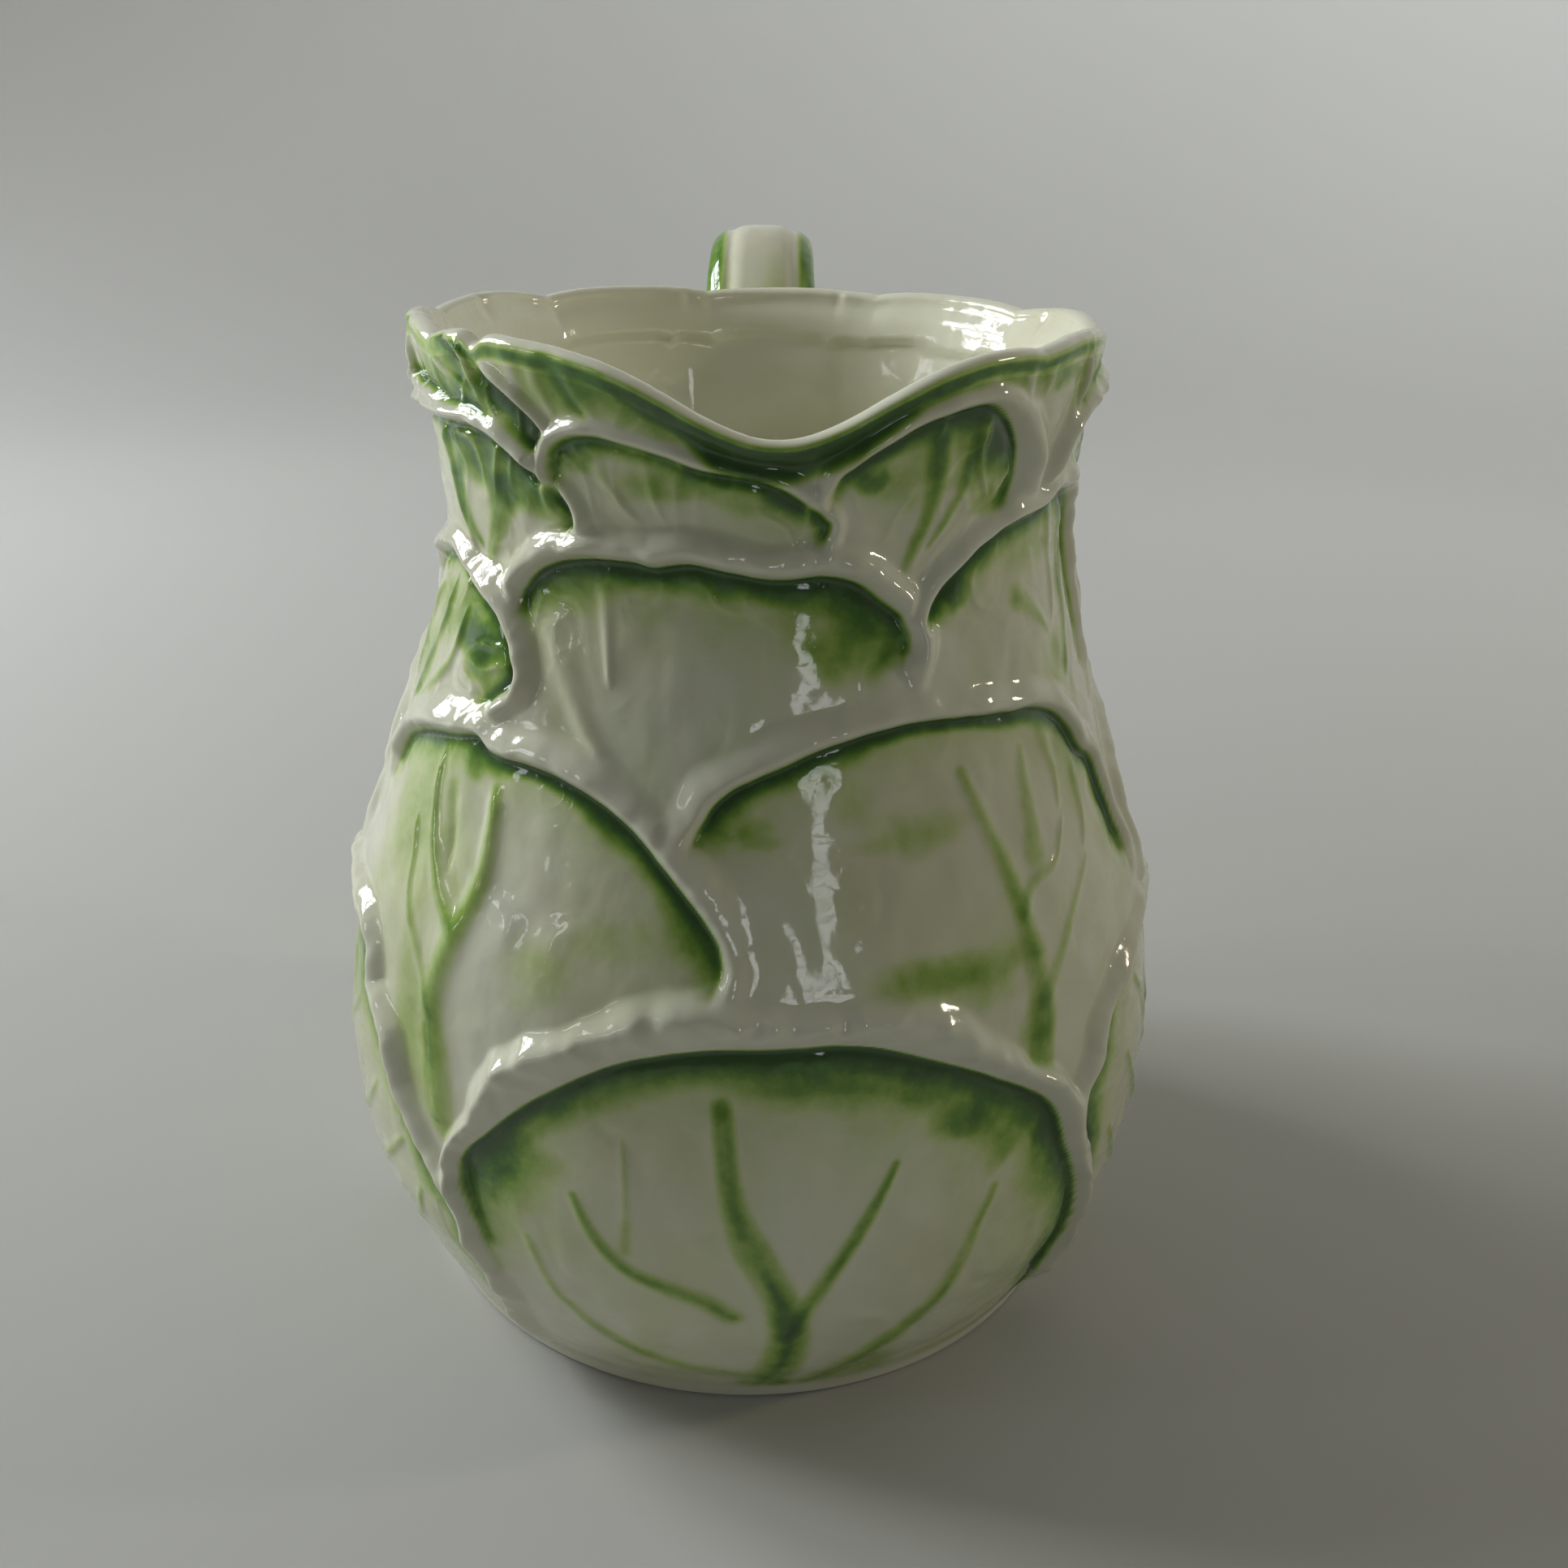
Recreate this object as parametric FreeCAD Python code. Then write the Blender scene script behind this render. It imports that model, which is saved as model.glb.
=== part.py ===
"""Cabbage-leaf pouring jug: a cast earthenware vessel dressed with tiers of overlapping leaves.

Millimetres. The origin is on the jug's axis in the plane it stands on, +Z is up, the pouring
lip faces -Y and the handle stands behind at +Y. Angles go round the axis from the lip, in
degrees, and grow towards +X.
"""
import FreeCAD, Part
import math
import os

from FreeCAD import Vector

# --- driving dimensions -------------------------------------------------------------------
RIM_HEIGHT = 156.4        # the rim above the table at the back, beside the handle
RIM_RISE = 4.4            # how much higher the rim climbs towards the pouring lip
BELLY_RADIUS = 68.5       # bare vessel, before the leaves are laid on it
NECK_RADIUS = 48.2
RIM_RADIUS = 51.0
BASE_HEIGHT = 2.5         # the vessel's underside, above the table
WALL = 4.0                # thickness of the bare cast wall
FLOOR = 5.5               # thickness of the vessel's floor
FLOOR_CORNER = 3.0        # how far the inside's corner at the floor is filled in
RIM_CURVE = 0.9           # below 1 the rim stays high for longer on its way round to the back

LIP_ANGLE = 4.0           # the lip's middle, in degrees from the front
LIP_DIP = 10.5            # depth of the dip in the rim at the pouring lip
LIP_WIDTH = 18.7          # degrees either side of its middle over which the dip fades
LIP_REACH = 3.0           # how far the pouring lip leans out past the round rim
LIP_START = 128.0         # height where the lip begins to lean out
LEAN_WIDTH = 26.0         # degrees either side of its middle over which the lean fades

BLADE = 1.5               # thickness of a leaf's blade
ROLL = 3.2                # thickness of a leaf where its edge is rolled over

FOOT_OUTER = 53.0
FOOT_INNER = 45.5
FOOT_ROUNDING = 0.8       # on the edges that touch the table
LEAF_START = 1.5          # the lowest leaves begin this far above the vessel's underside

HANDLE_WIDTH = 19.5
HANDLE_THICKNESS = 9.0
HANDLE_SWELL = 0.10       # the strap is this share stouter at its ends and slimmer midway
JOINT_AT_WALL = 1.41      # the slip joint's size at the wall, beside the handle's own section
JOINT_AT_END = 1.12       # and its size where it thins out along the handle
JOINT_START = 2.0         # distances along the handle's centre line, from the end of the line
JOINT_STOP = 12.0

# Bare vessel: height above the table and radius, from the base up to the rim.
BODY_PROFILE = [
    (BASE_HEIGHT, 54.6),
    (13.0, 61.2),
    (28.0, 66.6),
    (46.0, BELLY_RADIUS),
    (64.0, 66.2),
    (87.0, 59.7),
    (103.0, 54.0),
    (117.0, 50.2),
    (130.0, NECK_RADIUS),
    (143.0, 48.9),
    (RIM_HEIGHT, RIM_RADIUS),
    (RIM_HEIGHT + RIM_RISE + 2.0, RIM_RADIUS + 1.0),
]

# The handle's centre line, (y, z), from inside the rim's wall to inside the belly's wall.
HANDLE_PATH = [(46, 138.5), (54, 152), (65, 161.3), (78, 161), (90, 149), (95.8, 128),
               (94, 104), (84.5, 81), (64.5, 58)]

# Leaves: name, the angle it faces, width of its rolled edge and the line where the roll meets
# the blade, (angle, height). The tiers run from the foot up, and each tier lies over the next.
LEAVES = [
    ("leaf_foot_front", 7, 6.0,
     [(-27, 5), (-32, 24), (-36, 43), (-27, 57), (-14, 67), (0, 71), (15, 70.5),
      (30, 63), (42, 52), (49, 36), (51, 20), (48, 5)]),
    ("leaf_foot_left", -66, 5.0,
     [(-40, 5), (-38, 22), (-45, 40), (-54, 56), (-63, 68), (-76, 72), (-88, 65),
      (-93, 48), (-90, 28), (-80, 5)]),
    ("leaf_foot_right", 78, 5.0,
     [(58, 5), (55, 24), (51, 43), (55, 59), (65, 66), (80, 70), (95, 64), (104, 47),
      (104, 25), (97, 5)]),
    ("leaf_foot_back_right", 145, 5.0,
     [(114, 5), (110, 28), (113, 50), (124, 64), (143, 70), (162, 65), (174, 50),
      (177, 27), (172, 5)]),
    ("leaf_foot_back_left", -137, 5.0,
     [(-106, 5), (-102, 26), (-105, 48), (-117, 65), (-136, 71), (-156, 65), (-168, 49),
      (-173, 26), (-168, 5)]),
    ("leaf_belly_front_left", -38, 5.0,
     [(-70, 95), (-60, 101), (-46, 104.5), (-33, 103.5), (-19, 100), (-9, 92), (-3.5, 83),
      (-8, 62), (-30, 46), (-50, 46), (-66, 64), (-71, 82)]),
    ("leaf_belly_front_right", 34, 5.0,
     [(-5, 100), (1, 105.5), (12, 109.5), (27, 111.5), (45, 110), (57, 107), (64, 99),
      (70, 88), (68, 66), (54, 48), (30, 46), (6, 62), (-4, 82)]),
    ("leaf_belly_back_right", 110, 5.0,
     [(82, 82), (88, 96), (102, 104), (120, 104), (134, 97), (141, 82), (136, 60),
      (118, 46), (98, 48), (84, 64)]),
    ("leaf_belly_back", 178, 5.0,
     [(150, 84), (154, 99), (167, 107), (184, 108), (199, 101), (207, 86), (203, 62),
      (188, 47), (166, 47), (152, 64)]),
    ("leaf_belly_back_left", -112, 5.0,
     [(-83, 84), (-88, 97), (-101, 105), (-118, 105), (-133, 98), (-142, 84), (-138, 62),
      (-122, 47), (-100, 47), (-86, 64)]),
    ("leaf_shoulder_front", -8, 4.5,
     [(-40, 124), (-35, 131), (-24, 133), (-10, 133.5), (0, 132), (12, 132), (21, 129),
      (26, 123), (20, 108), (0, 97), (-22, 99), (-37, 112)]),
    ("leaf_shoulder_left", -64, 4.5,
     [(-90, 117), (-79, 125), (-66, 127.5), (-54, 125.5), (-45, 121), (-40.5, 114),
      (-48, 101), (-66, 95), (-84, 101)]),
    ("leaf_shoulder_right", 56, 4.5,
     [(31, 125), (37, 131.5), (47, 136), (57, 137), (67, 137.5), (77, 133), (83, 122),
      (78, 107), (62, 99), (44, 101), (34, 112)]),
    ("leaf_shoulder_back_right", 116, 4.5,
     [(92, 121), (98, 130), (112, 135), (127, 132), (138, 123), (138, 108), (126, 98),
      (107, 98), (94, 107)]),
    ("leaf_shoulder_back", 176, 4.5,
     [(148, 118), (155, 127), (170, 131.5), (186, 131), (200, 125), (206, 114), (199, 101),
      (178, 96), (156, 101)]),
    ("leaf_shoulder_back_left", -122, 4.5,
     [(-98, 122), (-105, 131), (-120, 135), (-134, 131), (-145, 121), (-144, 107),
      (-132, 98), (-112, 98), (-100, 107)]),
    ("leaf_neck_left", -62, 3.5,
     [(-90, 142), (-78, 146.5), (-60, 147.5), (-47, 148), (-36, 144), (-30, 138.5),
      (-38, 127), (-58, 122), (-82, 128)]),
    ("leaf_neck_front", -10, 3.0,
     [(-30, 145), (-23, 149), (-13, 148.5), (0, 146), (8, 143), (12.5, 138.5), (4, 129),
      (-14, 126), (-27, 133)]),
    ("leaf_neck_right", 31, 3.0,
     [(15, 146), (23, 151), (34, 153), (42, 151), (46, 145), (43, 134), (32, 126),
      (21, 132)]),
    ("leaf_neck_back_right", 86, 3.5,
     [(58, 142), (66, 148), (84, 150), (102, 148), (113, 141), (110, 129), (88, 123),
      (64, 129)]),
    ("leaf_neck_back", 150, 3.5,
     [(122, 141), (131, 147), (150, 149), (164, 146), (170, 139), (166, 128), (148, 122),
      (128, 128)]),
    ("leaf_neck_back_left", -136, 3.5,
     [(-104, 141), (-113, 147), (-134, 149.5), (-155, 147), (-167, 140), (-163, 128),
      (-138, 122), (-111, 128)]),
    ("leaf_rim_left", -56, 2.5,
     [(-78, 151), (-72, 157), (-56, 158), (-42, 155), (-33, 149), (-42, 146), (-60, 145),
      (-73, 146)]),
    ("leaf_lip_left", -20, 2.0,
     [(-44, 157), (-36, 163), (-18, 163), (3, 160), (6, 150), (-2, 143), (-18, 141),
      (-36, 145)]),
    ("leaf_lip_right", 34, 2.0,
     [(8, 148), (10, 160), (30, 163), (50, 163), (61, 157), (56, 149), (36, 142),
      (16, 142)]),
    ("leaf_rim_right", 84, 2.5,
     [(62, 152), (67, 159), (84, 162), (101, 159), (106, 151), (98, 144), (82, 142),
      (68, 145)]),
    ("leaf_rim_back_right", 136, 2.5,
     [(110, 151), (117, 158), (136, 161), (155, 158), (161, 150), (152, 143), (135, 141),
      (117, 144)]),
    ("leaf_rim_back_left", -138, 2.5,
     [(-162, 150), (-156, 158), (-138, 161), (-117, 158), (-110, 151), (-118, 144),
      (-138, 141), (-154, 144)]),
    ("leaf_rim_back_side", -94, 2.5,
     [(-113, 151), (-108, 158), (-95, 161), (-83, 158), (-77, 151), (-84, 144),
      (-96, 142), (-107, 145)]),
]

POINTS_ROUND = 24         # points that each horizontal section is drawn through
RIM_POINTS = 36           # points that the rim line is drawn through
HANDLE_SECTIONS = 13      # sections that the strap is lofted through
JOINT_SECTIONS = 3
CURVE_STEPS = 100         # short steps that the handle's centre line is walked in
CLEAR = 30.0              # how far a cutting solid runs past what it cuts
TINY = 0.01


# --- the vessel's outline -------------------------------------------------------------------
def from_lip(angle):
    """Degrees round the axis from the lip's middle, between -180 and 180."""
    return (angle - LIP_ANGLE + 180.0) % 360.0 - 180.0


def lip_lean(height, angle):
    """How far the wall leans outward for the pouring lip."""
    if height <= LIP_START:
        return 0.0
    rise = (height - LIP_START) / (RIM_HEIGHT - LIP_START)
    return LIP_REACH * rise * rise * math.exp(-((from_lip(angle) / LEAN_WIDTH) ** 2))


def rim_height(angle):
    """Height of the rim: lowest in the lip's dip, highest on both sides of it."""
    climb = RIM_RISE * (0.5 + 0.5 * math.cos(math.radians(angle))) ** RIM_CURVE
    dip = LIP_DIP * math.exp(-((from_lip(angle) / LIP_WIDTH) ** 2))
    return RIM_HEIGHT + climb - dip


def on_body(angle, height, radius):
    """The point at an angle from the lip, at a height and a radius."""
    turn = math.radians(angle)
    return Vector(radius * math.sin(turn), -radius * math.cos(turn), height)


def section(height, radius):
    """One closed horizontal section of the body, leaning out at the lip."""
    points = []
    for step in range(POINTS_ROUND):
        angle = 360.0 * step / POINTS_ROUND
        points.append(on_body(angle, height, radius + lip_lean(height, angle)))
    curve = Part.BSplineCurve()
    curve.interpolate(Points=points, PeriodicFlag=True)
    return Part.Wire([curve.toShape()])


def body_solid(offset, profile=BODY_PROFILE):
    """The whole body as one filled solid, its side moved outward by an offset."""
    wires = [section(height, radius + offset) for height, radius in profile]
    return Part.makeLoft(wires, True, False)


def bare_radius(height):
    """Radius of the bare vessel at a height, between the profile's own heights."""
    for (low, low_radius), (high, high_radius) in zip(BODY_PROFILE, BODY_PROFILE[1:]):
        if height <= high:
            share = max(0.0, (height - low) / (high - low))
            return low_radius + share * (high_radius - low_radius)
    return RIM_RADIUS


def above_rim():
    """Everything over the rim line, as a thick ring to cut away."""
    rings = []
    for radius in (NECK_RADIUS / 2.0, BELLY_RADIUS + CLEAR):
        points = []
        for step in range(RIM_POINTS):
            angle = 360.0 * step / RIM_POINTS
            points.append(on_body(angle, rim_height(angle), radius))
        curve = Part.BSplineCurve()
        curve.interpolate(Points=points, PeriodicFlag=True)
        rings.append(curve.toShape())
    return Part.makeRuledSurface(rings[0], rings[1]).extrude(Vector(0, 0, CLEAR))


# --- the pieces -----------------------------------------------------------------------------
def make_vessel():
    """The cast wall and floor, open at the top, with its rim dipped at the lip."""
    floor_height = BASE_HEIGHT + FLOOR
    corner_radius = bare_radius(floor_height) - WALL - FLOOR_CORNER
    inside = [(floor_height, corner_radius)]
    for height, radius in BODY_PROFILE:
        if height > floor_height:
            inside.append((height, radius - WALL))
    top_height, top_radius = inside[-1]
    inside.append((top_height + WALL, top_radius))
    hollow = body_solid(0.0, inside)
    return body_solid(0.0).cut(hollow).cut(above_rim())


def make_foot_ring():
    """The low unglazed ring that the jug stands on."""
    outer = Part.makeCylinder(FOOT_OUTER, BASE_HEIGHT)
    inner = Part.makeCylinder(FOOT_INNER, BASE_HEIGHT)
    ring = outer.cut(inner)
    bottom_edges = [edge for edge in ring.Edges if edge.BoundBox.ZMax < TINY]
    return ring.makeFillet(FOOT_ROUNDING, bottom_edges)


def handle_section(place, along, width, thickness):
    """A rounded strap section across the handle's centre line."""
    across = Vector(1, 0, 0)
    ellipse = Part.Ellipse(Vector(0, 0, 0), width / 2.0, thickness / 2.0)
    wire = Part.Wire([ellipse.toShape()])
    turn = FreeCAD.Rotation(across, along.cross(across), along, "ZXY")
    wire.Placement = FreeCAD.Placement(place, turn)
    return wire


def handle_curve():
    """The handle's centre line as one smooth curve."""
    curve = Part.BSplineCurve()
    curve.interpolate(Points=[Vector(0, y, z) for y, z in HANDLE_PATH])
    return curve


def make_handle_core():
    """The whole strap handle, its ends running into the vessel's wall."""
    curve = handle_curve()
    first, last = curve.FirstParameter, curve.LastParameter
    wires = []
    for step in range(HANDLE_SECTIONS):
        share = step / (HANDLE_SECTIONS - 1)
        at = first + share * (last - first)
        swell = 1.0 + HANDLE_SWELL * math.cos(2.0 * math.pi * share)
        along = Vector(*curve.tangent(at)[0])
        wires.append(handle_section(curve.value(at), along, HANDLE_WIDTH * swell,
                                    HANDLE_THICKNESS * swell))
    return Part.makeLoft(wires, True, False)


def make_joint_core(at_end):
    """A collar of slip round one end of the handle, wide at the wall and thin outside it."""
    curve = handle_curve()
    place = curve.LastParameter if at_end else curve.FirstParameter
    step = (curve.LastParameter - curve.FirstParameter) / CURVE_STEPS
    if at_end:
        step = -step
    wires = []
    reach = 0.0
    for number in range(JOINT_SECTIONS):
        share = number / (JOINT_SECTIONS - 1)
        size = JOINT_AT_WALL + share * (JOINT_AT_END - JOINT_AT_WALL)
        wanted = JOINT_START + share * (JOINT_STOP - JOINT_START)
        while reach < wanted:
            before = curve.value(place)
            place += step
            reach += curve.value(place).distanceToPoint(before)
        along = Vector(*curve.tangent(place)[0])
        wires.append(handle_section(curve.value(place), along, HANDLE_WIDTH * size,
                                    HANDLE_THICKNESS * size))
    return Part.makeLoft(wires, True, True)


def leaf_prism(centre, points, margin):
    """The leaf's outline, grown by a margin, pushed through the wall it lies on."""
    flat = [(bare_radius(height) * math.sin(math.radians(angle - centre)), height)
            for angle, height in points]
    middle_u = sum(u for u, _ in flat) / len(flat)
    middle_z = sum(z for _, z in flat) / len(flat)
    outline = []
    for u, z in flat:
        reach = math.hypot(u - middle_u, z - middle_z)
        grow = 1.0 + margin / reach
        u_out = middle_u + (u - middle_u) * grow
        z_out = middle_z + (z - middle_z) * grow
        outline.append(Vector(u_out, 0, max(z_out, BASE_HEIGHT + LEAF_START)))
    curve = Part.BSplineCurve()
    curve.interpolate(Points=outline, PeriodicFlag=True)
    face = Part.Face(Part.Wire([curve.toShape()]))
    prism = face.extrude(Vector(0, -BELLY_RADIUS - CLEAR, 0))
    prism.rotate(Vector(0, 0, 0), Vector(0, 0, 1), centre)
    return prism


def make_leaves(blockers):
    """Every leaf: a thin blade inside a thicker rolled edge, lower tiers over upper ones."""
    bare = body_solid(0.0)
    blade_layer = body_solid(BLADE)
    roll_layer = body_solid(ROLL)
    above = above_rim()
    covers = []
    leaves = {}
    for name, centre, roll, points in LEAVES:
        outer = leaf_prism(centre, points, roll)
        inner = leaf_prism(centre, points, 0.0)
        solid = outer.common(roll_layer)
        solid = solid.cut(inner.cut(blade_layer)).cut(bare)
        box = solid.BoundBox
        cutters = [tool for tool in [above] + blockers + covers
                   if tool.BoundBox.intersect(box)]
        leaves[name] = solid.cut(cutters) if cutters else solid
        covers.append(outer)
    return leaves


def biggest(shape):
    """The largest solid of a shape: thin offcuts at its edge are dropped."""
    return max(shape.Solids, key=lambda solid: solid.Volume)


def build():
    """All the pieces, by name."""
    bare = body_solid(0.0)
    handle = make_handle_core()
    upper = make_joint_core(at_end=False).cut(handle).cut(bare)
    lower = make_joint_core(at_end=True).cut(handle).cut(bare)
    pieces = {
        "vessel": make_vessel(),
        "foot_ring": make_foot_ring(),
        "handle": handle.cut(bare),
        "handle_upper_joint": upper,
        "handle_lower_joint": lower,
    }
    blockers = [pieces["handle"], upper, lower]
    pieces.update(make_leaves(blockers))
    return {name: biggest(shape) for name, shape in pieces.items()}


os.makedirs("parts", exist_ok=True)
for name, shape in build().items():
    shape.exportStep("parts/" + name + ".step")
    print(name, round(shape.Volume), shape.isValid(), len(shape.Faces))
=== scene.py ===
"""A cabbage-leaf pouring jug in glossy, hand-brushed green and ivory glaze.

Every leaf is its own closed piece with a rolled edge, veins and puckers, bedded on the cast
vessel. The relief is worked out in millimetres on the unrolled side of the jug, where an angle
runs round the axis from the front (grows towards +X) and a height runs up from the table.
"""
import math

import bpy
import numpy as np
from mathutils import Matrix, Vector


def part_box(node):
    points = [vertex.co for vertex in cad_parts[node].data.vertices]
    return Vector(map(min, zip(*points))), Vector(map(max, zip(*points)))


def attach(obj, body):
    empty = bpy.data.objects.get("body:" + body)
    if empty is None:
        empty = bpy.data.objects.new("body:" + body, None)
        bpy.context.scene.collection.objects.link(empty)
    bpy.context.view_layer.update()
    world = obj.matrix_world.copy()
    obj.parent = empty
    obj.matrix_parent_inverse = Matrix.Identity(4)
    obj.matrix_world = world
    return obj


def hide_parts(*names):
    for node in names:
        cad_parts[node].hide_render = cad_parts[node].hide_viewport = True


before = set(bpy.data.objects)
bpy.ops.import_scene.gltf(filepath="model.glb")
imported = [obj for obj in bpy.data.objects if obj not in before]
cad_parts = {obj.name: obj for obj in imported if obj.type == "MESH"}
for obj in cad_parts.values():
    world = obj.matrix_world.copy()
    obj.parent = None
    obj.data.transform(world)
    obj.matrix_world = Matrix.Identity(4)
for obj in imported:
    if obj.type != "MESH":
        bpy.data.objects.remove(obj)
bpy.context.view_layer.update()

MM = 0.001

# --- sizes, in millimetres ------------------------------------------------------------------
BASE_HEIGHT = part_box("vessel")[0].z / MM     # underside of the vessel, on its foot ring
RIM_BACK = 156.4          # rim height behind, beside the handle
RIM_RISE = 4.4            # how far the rim climbs towards the lip
LIP_ANGLE = 4.0
LIP_DIP = 10.5
LIP_WIDTH = 18.7
LIP_REACH = 3.0
LIP_START = 128.0
LEAN_WIDTH = 26.0
WALL = 5.4                # wall with its leaf, at the belly
LOBES = 10                # petals that the rim's edge waves in
LOBE_EDGE = 156.0
RIM_WALL = 3.3            # wall at the rim
FLOOR_HEIGHT = 8.0        # the inside's floor, above the table
FLOOR_CORNER = 14.0       # how far up and in the floor's corner is rounded
LEAF_DEPTH = 2.2          # how far in from the blades' outside a leaf's smooth back lies
SEAT_DEPTH = 2.3          # how far in the vessel's hidden side lies behind the leaves
RIM_BAND = 2.4            # height of the vessel's own rim above the leaves' top ends

# Glazed outside: height and radius, over the leaves' blades.
PROFILE = [(0.5, 56.6), (2.5, 57.1), (6, 59.0), (13, 62.7), (28, 67.9), (46, 69.2),
           (64, 67.3), (76, 65.0), (87, 60.4), (103, 54.8), (117, 50.6), (130, 48.1), (143, 49.2),
           (156.4, 51.6), (163, 52.2)]
SKIRT_HEIGHT = 0.5        # the lowest leaves hang down over the foot ring, almost to the table
FOOT_WHITE = 2.2          # no green is brushed on below this height

COLUMNS = 960             # mesh columns round the jug
ROW_STEP = 0.42           # height of a mesh row
BEND_FROM = 112.0         # above this height the rows bend towards the rim's line
FULL_TURN = 360.0

LATTICE = np.random.default_rng(7).random((256, 256))


# --- small mathematics ----------------------------------------------------------------------
def smoothstep(low, high, x):
    t = np.clip((x - low) / (high - low), 0.0, 1.0)
    return t * t * (3.0 - 2.0 * t)


def noise(x, y, seed=0, around=None):
    """Smooth random field with unit cells, from 0 to 1. It repeats after `around` cells of x."""
    x = np.asarray(x, float) + (0.0 if around else 37.3 * seed)
    y = np.asarray(y, float) + 91.7 * seed
    x0 = np.floor(x).astype(int)
    y0 = np.floor(y).astype(int)
    fx = x - x0
    fy = y - y0
    fx = fx * fx * (3.0 - 2.0 * fx)
    fy = fy * fy * (3.0 - 2.0 * fy)
    x1 = x0 + 1
    if around:
        x0 = x0 % around + 37 * seed
        x1 = x1 % around + 37 * seed
    a = LATTICE[x0 % 256, y0 % 256]
    b = LATTICE[x1 % 256, y0 % 256]
    c = LATTICE[x0 % 256, (y0 + 1) % 256]
    d = LATTICE[x1 % 256, (y0 + 1) % 256]
    return (a * (1 - fx) + b * fx) * (1 - fy) + (c * (1 - fx) + d * fx) * fy


def ridges(x, y, seed=0):
    """Thin branching crests, from 0 between them to 1 on top."""
    return 1.0 - np.abs(2.0 * noise(x, y, seed) - 1.0)


def curve_through(points, closed, steps):
    """Catmull-Rom curve through rows of numbers."""
    p = np.asarray(points, float)
    count = len(p)
    spans = count if closed else count - 1
    out = []
    for i in range(spans):
        if closed:
            a, b, c, d = p[i - 1], p[i], p[(i + 1) % count], p[(i + 2) % count]
        else:
            a, b, c = p[max(i - 1, 0)], p[i], p[i + 1]
            d = p[min(i + 2, count - 1)]
        for t in np.arange(steps) / steps:
            out.append(0.5 * (2 * b + (c - a) * t + (2 * a - 5 * b + 4 * c - d) * t * t
                              + (3 * b - a - 3 * c + d) * t ** 3))
    if not closed:
        out.append(p[-1])
    return np.array(out)


PROFILE_CURVE = curve_through(PROFILE, False, 12)


def radius_at(height):
    return np.interp(height, PROFILE_CURVE[:, 0], PROFILE_CURVE[:, 1])


def thinning(height):
    """How much less deep the leaves are let in towards the thin rim."""
    return 0.8 * smoothstep(136.0, 150.0, height)


def wrap(angle):
    return (angle + 180.0) % FULL_TURN - 180.0


def rim_height(angle):
    """The rim line: a dip at the lip, a climb on both sides of it and small scallops."""
    climb = RIM_RISE * (0.5 + 0.5 * np.cos(np.radians(angle))) ** 0.9
    off = wrap(angle - LIP_ANGLE)
    dip = LIP_DIP * np.exp(-((off / LIP_WIDTH) ** 2))
    far = 1.0 - np.exp(-((off / 46.0) ** 4))
    lobe = np.abs(np.sin(np.radians((angle - LOBE_EDGE) * LOBES / 2.0))) ** 0.7
    scallop = 1.5 * (lobe - 0.75) * (0.6 + 0.8 * noise(angle / 30.0, 0, 3, 12))
    lobes = 0.5 * (noise(angle / 15.0, 5.0, 4, 24) - 0.5)
    notch = 1.5 * np.exp(-((wrap(angle + 45.0) / 2.2) ** 2))
    return RIM_BACK + climb - dip + far * (scallop + lobes) - notch


def lip_lean(height, angle):
    rise = np.clip((height - LIP_START) / (RIM_BACK - LIP_START), 0.0, None)
    off = wrap(angle - LIP_ANGLE)
    return LIP_REACH * rise ** 2 * np.exp(-((off / LEAN_WIDTH) ** 2))


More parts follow.
